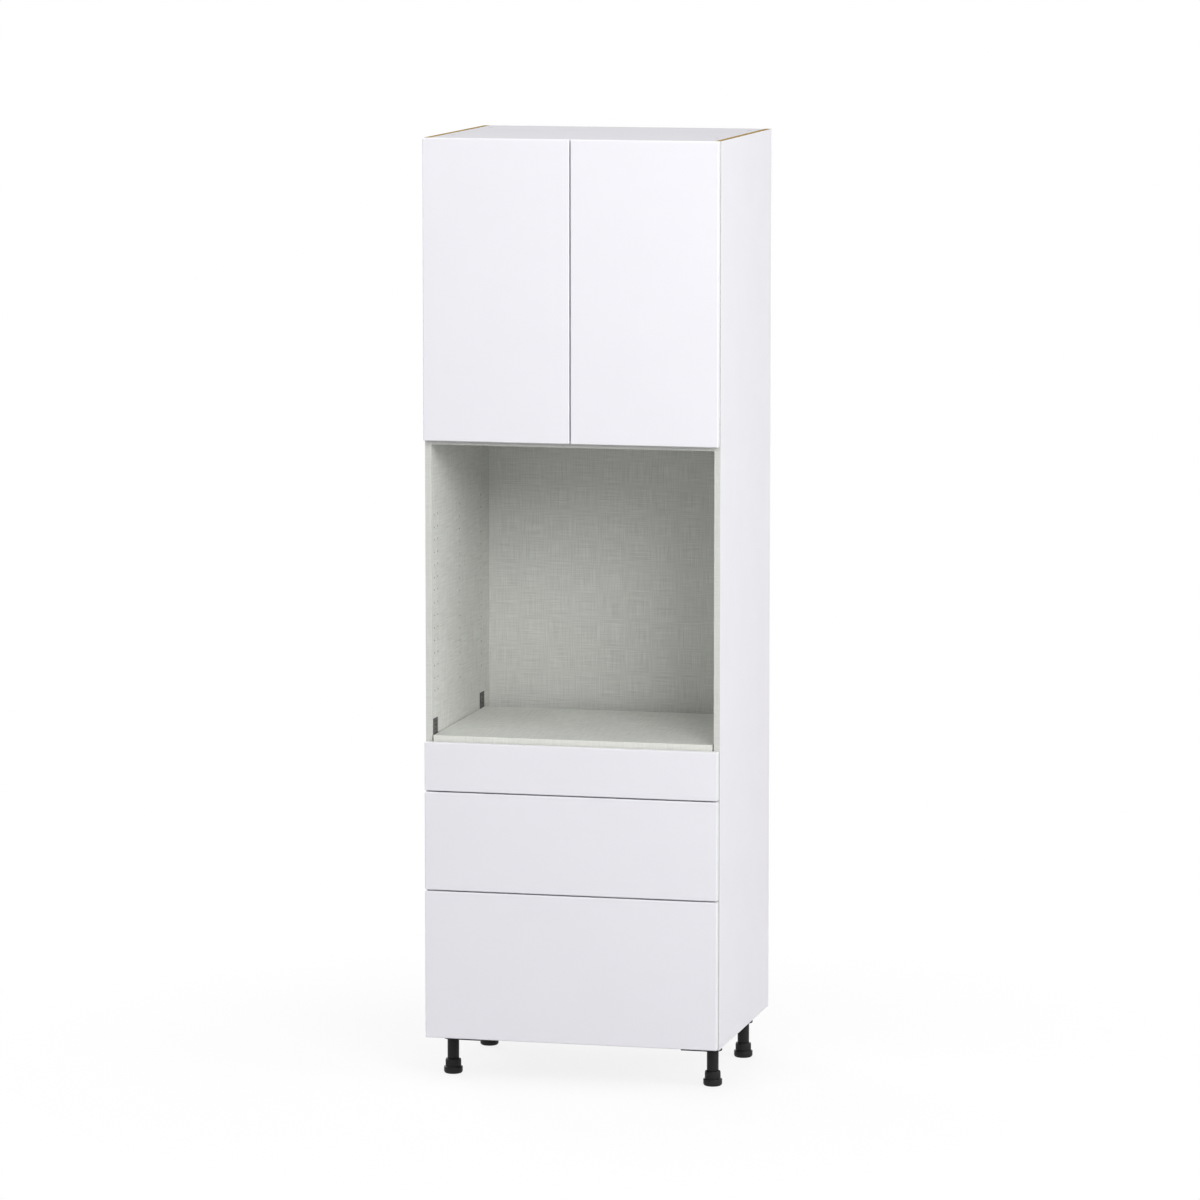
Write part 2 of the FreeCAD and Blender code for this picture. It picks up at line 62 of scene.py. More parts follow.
CAM_RADIUS_MM = 7.5
HINGE_HALF_HEIGHT_MM = 8.0

Setting = Union[Node, NodeSocket, float, int, bool, Sequence[float], ID]
Outline = Sequence[tuple[float, float]]
Triple = tuple[float, float, float]


def hex_linear(code: str) -> tuple[float, float, float, float]:
    """Turns an sRGB hex colour into the linear RGBA that sockets take.

    Args:
        code: six hex digits.

    Returns:
        Linear red, green, blue and an alpha of one.
    """
    parts = [int(code[place:place + 2], 16) / 255 for place in (0, 2, 4)]
    linear = [part / 12.92 if part <= 0.04045 else ((part + 0.055) / 1.055) ** 2.4 for part in parts]
    return linear[0], linear[1], linear[2], 1.0


def per_metre(size_mm: float) -> float:
    """Gives the texture scale at which a pattern repeats about every size_mm on Object coordinates."""
    return 1 / (size_mm * MM)


def add_node(tree: NodeTree, kind: str, inputs: Optional[dict[Union[str, int], Setting]] = None,
             **settings: Union[str, int, float, bool]) -> Node:
    """Adds a node with its properties, values and links.

    Args:
        tree: the tree that gets the node.
        kind: the node's type.
        inputs: what each input gets, by name or number: a value, a socket, or a node for its first output.
        settings: the node's own properties.

    Returns:
        The new node.
    """
    node = tree.nodes.new(kind)
    for name, value in settings.items():
        setattr(node, name, value)
    for key, value in (inputs or {}).items():
        if isinstance(value, Node):
            value = value.outputs[0]
        if isinstance(value, NodeSocket):
            tree.links.new(value, node.inputs[key])
        else:
            node.inputs[key].default_value = value
    return node


class Side(Enum):
    """The six faces of a board, by the way they look."""

    LEFT = (-1, 0, 0)
    RIGHT = (1, 0, 0)
    FRONT = (0, -1, 0)
    BACK = (0, 1, 0)
    BOTTOM = (0, 0, -1)
    TOP = (0, 0, 1)

    @property
    def way(self) -> Vector:
        """The outward direction as a vector."""
        return Vector(self.value)

    @classmethod
    def of(cls, normal: Vector) -> "Side":
        """The face that a normal belongs to."""
        return max(cls, key=lambda side: normal.dot(side.way))


class Hand(Enum):
    """The two sides of the cabinet, by their sign along X."""

    LEFT = -1
    RIGHT = 1

    @property
    def word(self) -> str:
        """What this side is called in names."""
        return self.name.lower()

    @property
    def outward(self) -> Side:
        """The way from the middle of the cabinet to this side."""
        return Side((self.value, 0, 0))

    @property
    def inward(self) -> Side:
        """The way from this side to the middle of the cabinet."""
        return Side((-self.value, 0, 0))


class Level(Enum):
    """The three drawers."""

    BOTTOM = "bottom"
    MIDDLE = "middle"
    TOP = "top"


class Member(Enum):
    """The three members of a drawer slide."""

    CABINET = "cabinet"
    MIDDLE = "middle"
    DRAWER = "drawer"


@dataclass(frozen=True)
class Coat:
    """A material in the making."""

    tree: NodeTree  # its nodes
    shader: Node  # its surface shader
    place: NodeOutputs  # its texture coordinates
    finish: "Finish"  # the finish that it shows

    def show(self, tone: Setting, relief: Setting, depth_mm: float, strength: float = 0.5,
             gloss: Optional[Setting] = None, spread: float = 0.0) -> None:
        """Lets patterns that go from 0 to 1 show on the surface.

        Args:
            tone: the pattern that shifts the colour to the shade.
            relief: the pattern that raises the surface.
            depth_mm: how high that stands.
            strength: how much of the relief shows.
            gloss: the pattern that moves the roughness, if it is moved.
            spread: how far the roughness moves either way.
        """
        # Inputs 6 and 7 of the mix are its two colours, and output 2 is what they give
        mix = add_node(self.tree, "ShaderNodeMix", {
            "Factor": tone, 6: hex_linear(self.finish.colour), 7: hex_linear(self.finish.shade)},
            data_type="RGBA")
        bump = add_node(self.tree, "ShaderNodeBump", {
            "Strength": strength, "Distance": depth_mm * MM, "Height": relief})
        shown = {"Base Color": mix.outputs[2], "Normal": bump.outputs[0]}
        if gloss is not None:
            usual = self.finish.roughness
            vary = add_node(self.tree, "ShaderNodeMapRange", {
                "Value": gloss, "To Min": usual - spread, "To Max": usual + spread})
            shown["Roughness"] = vary.outputs[0]
        for name, source in shown.items():
            self.tree.links.new(source, self.shader.inputs[name])


@dataclass(frozen=True)
class Finish:
    """A surface finish: its colour and gloss, and a pattern that each kind of finish adds."""

    name: str
    colour: str
    shade: str  # the colour that its pattern shifts to
    roughness: float
    metallic: float = 0.0
    shine: float = 0.5  # the shader's specular level

    def material(self) -> Material:
        """Makes the material at the first call.

        Returns:
            The one material of this finish.
        """
        known = bpy.data.materials.get(self.name)
        if known:
            return known
        material = bpy.data.materials.new(self.name)
        material.use_nodes = True
        material.diffuse_color = hex_linear(self.colour)
        tree = material.node_tree
        shader = tree.nodes["Principled BSDF"]
        shader.inputs["Base Color"].default_value = hex_linear(self.colour)
        shader.inputs["Roughness"].default_value = self.roughness
        shader.inputs["Metallic"].default_value = self.metallic
        shader.inputs["Specular IOR Level"].default_value = self.shine
        self.pattern(Coat(tree, shader, add_node(tree, "ShaderNodeTexCoord").outputs, self))
        return material

    def pattern(self, coat: Coat) -> None:
        """Adds what the eye sees beyond one colour."""


@dataclass(frozen=True)
class SatinLacquer(Finish):
    """Sprayed satin lacquer on fibreboard: an even soft sheen, with a faint orange peel in its highlights."""

    cloud_mm: float = 240.0
    gloss_spread: float = 0.04
    peel_mm: float = 2.6  # twice the real 1.3 mm, so that it shows
    peel_height_mm: float = 0.012

    def pattern(self, coat: Coat) -> None:
        """Adds slow clouds of tone and gloss, and the orange peel.

        Args:
            coat: the material in the making.
        """
        cloud = add_node(coat.tree, "ShaderNodeTexNoise", {
            "Vector": coat.place["Object"], "Scale": per_metre(self.cloud_mm), "Detail": 3.0})
        peel = add_node(coat.tree, "ShaderNodeTexNoise", {
            "Vector": coat.place["Object"], "Scale": per_metre(self.peel_mm), "Detail": 1.0})
        coat.show(cloud, peel, self.peel_height_mm, gloss=cloud, spread=self.gloss_spread)


@dataclass(frozen=True)
class PearlMelamine(Finish):
    """Melamine paper pressed on chipboard with a pearl plate: small soft pits that keep it from shining."""

    mottle_mm: float = 90.0
    gloss_spread: float = 0.04
    pit_mm: float = 1.8  # coarser than real, so that it shows
    pit_depth_mm: float = 0.02

    def pattern(self, coat: Coat) -> None:
        """Adds the pits and the faint mottle of the paper.

        Args:
            coat: the material in the making.
        """
        pits = add_node(coat.tree, "ShaderNodeTexVoronoi", {
            "Vector": coat.place["Object"], "Scale": per_metre(self.pit_mm)}, feature="SMOOTH_F1")
        mottle = add_node(coat.tree, "ShaderNodeTexNoise", {
            "Vector": coat.place["Object"], "Scale": per_metre(self.mottle_mm), "Detail": 5.0})
        coat.show(mottle, pits, self.pit_depth_mm, gloss=mottle, spread=self.gloss_spread)


@dataclass(frozen=True)
class LinenLaminate(Finish):
    """Laminate printed and pressed as linen: light and dark threads that run both ways along each face."""

    fine_mm: float = 2.4  # about three times a real thread of 0.7 mm, so that it shows
    run_mm: float = 70.0
    patch_mm: float = 30.0
    contrast: float = 3.0
    faintest: float = 0.25  # what is left of the contrast between patches
    weave_depth_mm: float = 0.05

    def pattern(self, coat: Coat) -> None:
        """Adds threads along X, Y and Z, in patches, and hides on each face those that would stand on end.

        Args:
            coat: the material in the making.
        """
        tree = coat.tree
        normal = add_node(tree, "ShaderNodeSeparateXYZ", {0: coat.place["Normal"]})
        total: Setting = 0.5
        for axis in range(3):
            scale = [per_metre(self.fine_mm)] * 3
            scale[axis] = per_metre(self.run_mm)
            stretch = add_node(tree, "ShaderNodeMapping", {"Vector": coat.place["Object"], "Scale": scale})
            thread = add_node(tree, "ShaderNodeTexNoise", {
                "Vector": stretch, "Scale": 1.0, "Detail": 1.0, "Roughness": 0.6})
            apart = add_node(tree, "ShaderNodeMapping", {
                "Vector": coat.place["Object"], "Location": (axis, 0, 0)})
            patch = add_node(tree, "ShaderNodeTexNoise", {
                "Vector": apart, "Scale": per_metre(self.patch_mm), "Detail": 2.0})
            upright = add_node(tree, "ShaderNodeMath", {0: normal.outputs[axis]}, operation="ABSOLUTE")
            shown = add_node(tree, "ShaderNodeMapRange", {
                "Value": patch, "From Min": 0.3, "From Max": 0.7, "To Min": self.faintest * self.contrast,
                "To Max": self.contrast})
            lying = add_node(tree, "ShaderNodeMapRange", {"Value": upright, "To Min": shown, "To Max": 0.0})
            swing = add_node(tree, "ShaderNodeMath", {0: thread, 1: 0.5}, operation="SUBTRACT")
            total = add_node(tree, "ShaderNodeMath", {0: swing, 1: lying, 2: total}, operation="MULTIPLY_ADD")
        coat.show(total, total, self.weave_depth_mm, 0.4)


@dataclass(frozen=True)
class RawChipboard(Finish):
    """Sawn chipboard core: tan flakes of several woods pressed flat, with dark chips and open pores."""

    shine: float = 0.0
    flake_mm: float = 3.2
    pore_mm: float = 1.1
    pore_depth_mm: float = 0.3

    def pattern(self, coat: Coat) -> None:
        """Adds flakes of mixed tone and the pores.

        Args:
            coat: the material in the making.
        """
        flakes = add_node(coat.tree, "ShaderNodeTexVoronoi", {
            "Vector": coat.place["Object"], "Scale": per_metre(self.flake_mm)})
        mixed = add_node(coat.tree, "ShaderNodeSeparateColor", {0: flakes.outputs["Color"]})
        pores = add_node(coat.tree, "ShaderNodeTexNoise", {
            "Vector": coat.place["Object"], "Scale": per_metre(self.pore_mm), "Detail": 3.0})
        deep = add_node(coat.tree, "ShaderNodeMapRange", {"Value": pores, "From Min": 0.35, "From Max": 0.6})
        chips = add_node(coat.tree, "ShaderNodeMath", {0: mixed, 1: deep}, operation="MULTIPLY")
        coat.show(chips, pores, self.pore_depth_mm, 1.0)


@dataclass(frozen=True)
class BackingPaper(Finish):
    """Plain balancing paper on the hidden face of a thin panel: dull, with faint fibres that lie along it."""

    fibre_mm: Triple = (60.0, 5.0, 5.0)
    fibre_height_mm: float = 0.05

    def pattern(self, coat: Coat) -> None:
        """Adds fibres, longer along X than across.

        Args:
            coat: the material in the making.
        """
        stretch = add_node(coat.tree, "ShaderNodeMapping", {
            "Vector": coat.place["Object"], "Scale": [per_metre(size) for size in self.fibre_mm]})
        fibres = add_node(coat.tree, "ShaderNodeTexNoise", {
            "Vector": stretch, "Scale": 1.0, "Detail": 6.0, "Roughness": 0.7})
        coat.show(fibres, fibres, self.fibre_height_mm)


@dataclass(frozen=True)
class PlatedMetal(Finish):
    """Plated steel or die-cast zinc: grey metal whose tone and gloss drift over crystals or a rolled skin."""

    metallic: float = 1.0
    grain_mm: float = 7.0
    gloss_spread: float = 0.08
    skin_mm: float = 0.9  # coarser than real, so that it shows
    skin_height_mm: float = 0.01

    def pattern(self, coat: Coat) -> None:
        """Adds crystals of two tones and a fine skin.

        Args:
            coat: the material in the making.
        """
        crystals = add_node(coat.tree, "ShaderNodeTexVoronoi", {
            "Vector": coat.place["Object"], "Scale": per_metre(self.grain_mm)})
        mixed = add_node(coat.tree, "ShaderNodeSeparateColor", {0: crystals.outputs["Color"]})
        skin = add_node(coat.tree, "ShaderNodeTexNoise", {
            "Vector": coat.place["Object"], "Scale": per_metre(self.skin_mm), "Detail": 2.0})
        coat.show(mixed, skin, self.skin_height_mm, gloss=mixed.outputs[1], spread=self.gloss_spread)


@dataclass(frozen=True)
class GrainedSkin(Finish):
    """Spark-eroded moulded plastic or powder coating: a fine even grit that spreads each highlight."""

    grit_mm: float = 0.9  # coarser than real, so that it shows
    grit_height_mm: float = 0.05
    patch_mm: float = 24.0
    gloss_spread: float = 0.07

    def pattern(self, coat: Coat) -> None:
        """Adds the grit, and slow patches where handling has paled it.

        Args:
            coat: the material in the making.
        """
        grit = add_node(coat.tree, "ShaderNodeTexNoise", {
            "Vector": coat.place["Object"], "Scale": per_metre(self.grit_mm), "Detail": 2.0})
        patches = add_node(coat.tree, "ShaderNodeTexNoise", {
            "Vector": coat.place["Object"], "Scale": per_metre(self.patch_mm), "Detail": 4.0})
        coat.show(patches, grit, self.grit_height_mm, gloss=patches, spread=self.gloss_spread)


# Fronts: a bright even white with a soft sheen
LACQUER = SatinLacquer("satin_white_lacquer", "F2F1F6", "EFEEF3", 0.34)
# Outer faces: as white, and flatter
MELAMINE = PearlMelamine("white_pearl_melamine", "F1F0F5", "EDECF1", 0.46)
# Upper face of the top: the white darkened to grey as painted shade, for the lesser light on the top, and
# dull as well
DULL_PAINTED_SHADE_TOP = PearlMelamine("grey_white_melamine", "D4D3D8", "D0CFD4", 0.68)
# Inner faces: pale grey cloth with soft threads
LINEN = LinenLaminate("grey_linen_laminate", "E0E1DD", "CBCCC7", 0.55)
# Edge bands: the same cloth, fainter and flatter; round the shelves a paler copy stands in for the light that
# the shelf edges catch, as painted light
LINEN_EDGE = LinenLaminate("grey_linen_edge_band", "DCDDD8", "CBCCC7", 0.5, contrast=1.6, weave_depth_mm=0.02)
# Painted light: the same edge band made paler for the shelf edges
PAINTED_LIGHT_EDGE = LinenLaminate("pale_linen_edge_band", "E9EAE3", "D9DAD3", 0.5, contrast=1.6, weave_depth_mm=0.02)
# Sawn edges: warm tan with dark chips and no shine
CHIPBOARD = RawChipboard("sawn_chipboard", "BDA15E", "665128", 0.85)
# Walls of a hole: greyer than a sawn edge
BORE = RawChipboard("drilled_chipboard", "B0A895", "665128", 0.9)
# Rear faces: dull beige with faint streaks
PAPER = BackingPaper("balancing_paper", "D3CDC0", "B9B2A4", 0.8)
# Slides and their screws: cool grey metal with a spangle
ZINC = PlatedMetal("zinc_plated_steel", "C6C9CC", "9B9DA0", 0.36)
# Hinges and pins: warm bright metal with slow drifts
NICKEL = PlatedMetal("nickel_plated_steel", "D2CEC7", "B5B0A8", 0.24, grain_mm=14.0)
# Cams: grainy grey metal
DIE_CAST = PlatedMetal("die_cast_zinc", "B4B6B9", "8F9194", 0.45, grain_mm=2.5)
# Shelf brackets: dark grey with a fine grit
COATED = GrainedSkin("grey_powder_coated_steel", "4B4B4A", "545453", 0.48)
# Legs: near black, with little shine
PLASTIC = GrainedSkin("black_moulded_polypropylene", "151516", "1C1C1D", 0.5, shine=0.24)
# The record's material slot of each finish that makes a whole piece
SLOTS = {ZINC: "zinc_plated_steel", NICKEL: "nickel_plated_steel", DIE_CAST: "zinc_die_cast",
         COATED: "grey_coated_steel", PLASTIC: "black_moulded_plastic"}


def new_object(name: str, data: ID) -> Object:
    """Links a new object at the origin.

    Args:
        name: its name.
        data: its mesh, already in place, or its lamp or camera.

    Returns:
        The object.
    """
    made = bpy.data.objects.new(name, data)
    bpy.context.scene.collection.objects.link(made)
    return made


def enter(piece: Object, body: str, slot: str, *nodes: str) -> None:
    """Puts a finished piece on its body and hides the solids that it stands for.

    Args:
        piece: the piece.
        body: the body that it moves with.
        slot: not used.
        nodes: the solids that it replaces.
    """
    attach(piece, body)
    if nodes:
        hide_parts(*nodes)
    LOG.info("%s rides on %s, %d faces", piece.name, body, len(piece.data.polygons))


def settle(piece: Object) -> Object:
    """Turns a piece's modifiers into plain mesh.

    Args:
        piece: the piece with its modifiers.

    Returns:
        The same piece without them.
    """
    graph = bpy.context.evaluated_depsgraph_get()
    mesh = bpy.data.meshes.new_from_object(
        piece.evaluated_get(graph), preserve_all_data_layers=True, depsgraph=graph)
    piece.modifiers.clear()
    old = piece.data
    piece.data = mesh
    bpy.data.meshes.remove(old)
    return piece


def run_tree(piece: Object, tree: NodeTree, values: dict[str, Setting]) -> None:
    """Puts a geometry tree on a piece.

    Args:
        piece: the piece that the tree changes.
        tree: the geometry tree.
        values: what its inputs are set to, by name.
    """
    modifier = piece.modifiers.new(tree.name, "NODES")
    modifier.node_group = tree
    for item in tree.interface.items_tree:
        if item.item_type == "SOCKET" and item.in_out == "INPUT" and item.name in values:
            modifier[item.identifier] = values[item.name]


def open_tree(name: str, inputs: dict[str, str]) -> tuple[NodeTree, NodeOutputs]:
    """Starts a geometry tree.

    Args:
        name: the tree's name.
        inputs: the socket type of each named input after the geometry.

    Returns:
        The tree, and the values that it is given.
    """
    tree = bpy.data.node_groups.new(name, "GeometryNodeTree")
    for way in ("INPUT", "OUTPUT"):
        tree.interface.new_socket("Geometry", in_out=way, socket_type="NodeSocketGeometry")
    for label, kind in inputs.items():
        tree.interface.new_socket(label, in_out="INPUT", socket_type="NodeSocket" + kind)
    return tree, add_node(tree, "NodeGroupInput").outputs


def close_tree(tree: NodeTree, shape: Node, finish: NodeSocket, chosen: Setting = True) -> NodeTree:
    """Ends a geometry tree with real geometry that has its material.

    Args:
        tree: the tree.
        shape: the node that gives the geometry.
        finish: the material.
        chosen: the faces that get it.

    Returns:
        The tree.
    """
    whole = add_node(tree, "GeometryNodeRealizeInstances", {0: shape})
    dressed = add_node(tree, "GeometryNodeSetMaterial", {
        "Geometry": whole, "Selection": chosen, "Material": finish})
    add_node(tree, "NodeGroupOutput", {0: dressed})
    return tree


def boring_tree() -> NodeTree:
    """Makes the tree that drills a grid of round holes into a board.

    Returns:
        The tree.
    """
    tree, value = open_tree("bored holes", {
        "Start": "Vector", "Row Step": "Vector", "Rows": "Int", "Column Step": "Vector", "Columns": "Int",
        "Drill": "Vector", "Radius": "Float", "Depth": "Float", "Sides": "Int",
        "Board Finish": "Material", "Bore Finish": "Material"})
    rows, columns = (
        add_node(tree, "GeometryNodeMeshLine", {
            "Count": value[name + "s"], "Start Location": start, "Offset": value[name + " Step"]},
            mode="OFFSET")
        for name, start in (("Row", value["Start"]), ("Column", (0, 0, 0))))
    grid = add_node(tree, "GeometryNodeInstanceOnPoints", {"Points": rows, "Instance": columns})
    points = add_node(tree, "GeometryNodeRealizeInstances", {0: grid})
    length = add_node(tree, "ShaderNodeMath", {0: value["Depth"], 1: 2.0}, operation="MULTIPLY")
    drill = add_node(tree, "GeometryNodeMeshCylinder", {
        "Vertices": value["Sides"], "Radius": value["Radius"], "Depth": length})
    skin = add_node(tree, "GeometryNodeSetMaterial", {"Geometry": drill, "Material": value["Bore Finish"]})
    turn = add_node(tree, "FunctionNodeAlignRotationToVector", {"Vector": value["Drill"]}, axis="Z")
    drills = add_node(tree, "GeometryNodeInstanceOnPoints", {
        "Points": points, "Instance": skin, "Rotation": turn})
    cutters = add_node(tree, "GeometryNodeRealizeInstances", {0: drills})
    bored = add_node(tree, "GeometryNodeMeshBoolean", {0: value["Geometry"], 1: cutters},
                     operation="DIFFERENCE", solver="MANIFOLD")
    inside = add_node(tree, "GeometryNodeMaterialSelection", {0: value["Bore Finish"]})
    outside = add_node(tree, "FunctionNodeBooleanMath", {0: inside}, operation="NOT")
    return close_tree(tree, bored, value["Board Finish"], outside)


def recess_tree() -> NodeTree:
    """Makes the tree that turns a head with a cross recess, as on a screw or a cam.

    Returns:
        The tree.
    """
    tree, value = open_tree("cross recessed head", {
        "Seat Radius": "Float", "Top Radius": "Float", "Height": "Float", "Sink": "Float",
        "Recess": "Vector", "Second Recess": "Vector", "Sides": "Int", "Finish": "Material"})
    head = add_node(tree, "GeometryNodeMeshCone", {
        "Vertices": value["Sides"], "Radius Top": value["Top Radius"], "Radius Bottom": value["Seat Radius"],
        "Depth": value["Height"]})
    lift = add_node(tree, "ShaderNodeCombineXYZ", {"Z": value["Height"]})
    cut = add_node(tree, "GeometryNodeMeshBoolean", {0: head}, operation="DIFFERENCE", solver="EXACT")
    for size in ("Recess", "Second Recess"):
        bit = add_node(tree, "GeometryNodeMeshCube", {"Size": value[size]})
        raised = add_node(tree, "GeometryNodeTransform", {"Geometry": bit, "Translation": lift})
        tree.links.new(raised.outputs[0], cut.inputs[1])
    drop = add_node(tree, "ShaderNodeCombineXYZ", {"Z": value["Sink"]})
    sunk = add_node(tree, "GeometryNodeTransform", {"Geometry": cut, "Translation": drop})
    return close_tree(tree, sunk, value["Finish"])


def setting_tree() -> NodeTree:
    """Makes the tree that sets copies of a small piece on points, each turned to its point's facing.

    Returns:
        The tree.
    """
    tree, value = open_tree("set pieces", {"Piece": "Object", "Spin": "Float", "Finish": "Material"})
    source = add_node(tree, "GeometryNodeObjectInfo", {"Object": value["Piece"], "As Instance": True})
    facing = add_node(tree, "GeometryNodeInputNamedAttribute", {"Name": "facing"}, data_type="FLOAT_VECTOR")
    turn = add_node(tree, "FunctionNodeAlignRotationToVector", {"Vector": facing}, axis="Z")
    chance = add_node(tree, "FunctionNodeRandomValue", {"Max": value["Spin"], "Seed": 7}, data_type="FLOAT")
    spin = add_node(tree, "FunctionNodeAxisAngleToRotation", {"Axis": (0, 0, 1), "Angle": chance.outputs[1]})
    both = add_node(tree, "FunctionNodeRotateRotation", {0: turn, 1: spin}, rotation_space="LOCAL")
    copies = add_node(tree, "GeometryNodeInstanceOnPoints", {
        "Points": value["Geometry"], "Instance": source.outputs["Geometry"], "Rotation": both})
    return close_tree(tree, copies, value["Finish"])


BORING = boring_tree()
RECESS = recess_tree()
SETTING = setting_tree()


@dataclass(frozen=True)
class Bores:
    """A grid of equal round holes in one face."""

    start: Vector  # where the first hole's axis meets the face
    drill: Side  # the way the holes go in
    radius_mm: float
    depth_mm: float
    row_step: Vector = field(default_factory=Vector)  # from one row to the next
    rows: int = 1
    column_step: Vector = field(default_factory=Vector)  # from one column to the next
    columns: int = 1
    finish: Finish = BORE  # what the bore shows
    sides: int = 16  # facets round a hole

    def cut(self, piece: Object, face: Finish) -> None:
        """Puts these holes on a piece as a modifier.

        Args:
            piece: the piece to drill.
            face: the finish of its own faces.
        """
        run_tree(piece, BORING, {
            "Start": self.start, "Row Step": self.row_step, "Rows": self.rows,
            "Column Step": self.column_step, "Columns": self.columns, "Drill": self.drill.way,
            "Radius": self.radius_mm * MM, "Depth": self.depth_mm * MM, "Sides": self.sides,
            "Board Finish": face.material(), "Bore Finish": self.finish.material()})


def ease(block: BMesh, edges: list[BMEdge], offset_mm: float, steps: int) -> None:
    """Rounds some edges of a block from offset_mm beside them, in a number of steps."""
    bmesh.ops.bevel(block, geom=edges, offset=offset_mm * MM, segments=steps, profile=0.5, affect="EDGES",
                    clamp_overlap=True)


@dataclass
class Board:
    """A board in the place of one solid, with a finish for each face and small eased edges."""

    node: str  # the solid that it stands for
    body: str = "carcass"  # the body that it moves with
    slot: str = "linen_laminate_board"  # the record's material slot
    plain: Finish = LINEN  # the finish of faces that have none of their own
    faces: dict[Side, Finish] = field(default_factory=dict)  # the finish of each face that differs
    ease_mm: float = 0.4  # how far the edges are eased
    ease_steps: int = 2  # facets of an eased edge
    hidden_mm: Triple = (0, 0, 0)  # what is left off each end along X, Y and Z because it lies in a groove
    bores: tuple[Bores, ...] = ()  # its holes

    def mesh(self) -> Mesh:
        """Builds the eased block.

        Returns:
            The mesh in its place.
        """
        low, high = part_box(self.node)
        low, high = low + Vector(self.hidden_mm) * MM, high - Vector(self.hidden_mm) * MM
        block = bmesh.new()
        bmesh.ops.create_cube(block, size=1.0)
        for vertex in block.verts:
            vertex.co = Vector([low[axis] if vertex.co[axis] < 0 else high[axis] for axis in range(3)])
        self.soften(block)
        bmesh.ops.recalc_face_normals(block, faces=block.faces[:])
        mesh = bpy.data.meshes.new(self.node)
        block.to_mesh(mesh)
        block.free()
        return mesh

    def soften(self, block: BMesh) -> None:
        """Eases all the edges of the block alike."""
        ease(block, block.edges[:], self.ease_mm, self.ease_steps)

    def dress(self, piece: Object) -> None:
        """Paints each face by the way it looks, and leaves the bores as they are.

        Args:
            piece: the drilled board.
        """
        mesh = piece.data
        drilled = [bores.finish for bores in self.bores]
        bored = {finish.name for finish in drilled}
        finishes = list(dict.fromkeys([self.plain, *self.faces.values(), *drilled]))
        before = [material.name if material else "" for material in mesh.materials] or [""]
        old = [before[face.material_index] for face in mesh.polygons]
        mesh.materials.clear()
        for finish in finishes:
            mesh.materials.append(finish.material())
        places = {finish.name: place for place, finish in enumerate(finishes)}
        for face, was in zip(mesh.polygons, old):
            own = self.faces.get(Side.of(face.normal), self.plain)
            face.material_index = places[was if was in bored else own.name]

    def build(self) -> None:
        """Makes, drills, dresses and enters the board."""
        piece = new_object(self.node + "_board", self.mesh())
        for bores in self.bores:
            bores.cut(piece, self.plain)
        settle(piece)
        self.dress(piece)
        enter(piece, self.body, self.slot, self.node)


@dataclass
class Front(Board):
    """A lacquered slab front, rounded all round its face and crisp at the back."""

    slot: str = "white_lacquered_front"
    plain: Finish = LACQUER
    faces: dict[Side, Finish] = field(default_factory=lambda: {Side.BACK: MELAMINE})
    round_mm: float = 2.6
    round_steps: int = 4

    def soften(self, block: BMesh) -> None:
        """Rounds the edges of the face and its corners, then eases the rear ones.

        Args:
            block: the block.
        """
        rear = max(vertex.co.y for vertex in block.verts) - SLIGHT
        at_face = [edge for edge in block.edges if min(vertex.co.y for vertex in edge.verts) < rear]
        ease(block, at_face, self.round_mm, self.round_steps)
        at_rear = [edge for edge in block.edges if min(vertex.co.y for vertex in edge.verts) > rear]
        ease(block, at_rear, self.ease_mm, self.ease_steps)


@dataclass
class Pressing:
    """A metal or plastic solid whose sharp edges are softened, with holes where it has them."""

    node: str  # the solid that it stands for
    body: str  # the body that it moves with
    finish: Finish
    ease_mm: float = 0.3  # how far its edges are softened
    bores: tuple[Bores, ...] = ()

    def build(self) -> None:
        """Merges a copy of the solid, drills it, softens it and enters it."""
        solid = bmesh.new()
        solid.from_mesh(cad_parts[self.node].data)
        bmesh.ops.remove_doubles(solid, verts=solid.verts[:], dist=MERGE)
        bmesh.ops.dissolve_limit(solid, angle_limit=FLAT, verts=solid.verts[:], edges=solid.edges[:])
        mesh = bpy.data.meshes.new(self.node)
        solid.to_mesh(mesh)
        solid.free()
        mesh.shade_smooth()
        piece = new_object(self.node + "_pressing", mesh)
        for bores in self.bores:
            bores.cut(piece, self.finish)
        soft = piece.modifiers.new("softened edges", "BEVEL")
        soft.width = self.ease_mm * MM
        soft.segments = 2
        soft.limit_method = "ANGLE"
        soft.angle_limit = SHARP
        soft.harden_normals = True
        settle(piece)
        piece.data.materials.clear()
        piece.data.materials.append(self.finish.material())
        enter(piece, self.body, SLOTS[self.finish], self.node)


def arc(centre: tuple[float, float], radius: float, start: float, steps: int) -> Outline:
    """Gives points in mm on a quarter circle that begins at an angle in degrees."""
    angles = [math.radians(start + 90 * step / steps) for step in range(steps + 1)]
    return [(centre[0] + radius * math.cos(angle), centre[1] + radius * math.sin(angle)) for angle in angles]


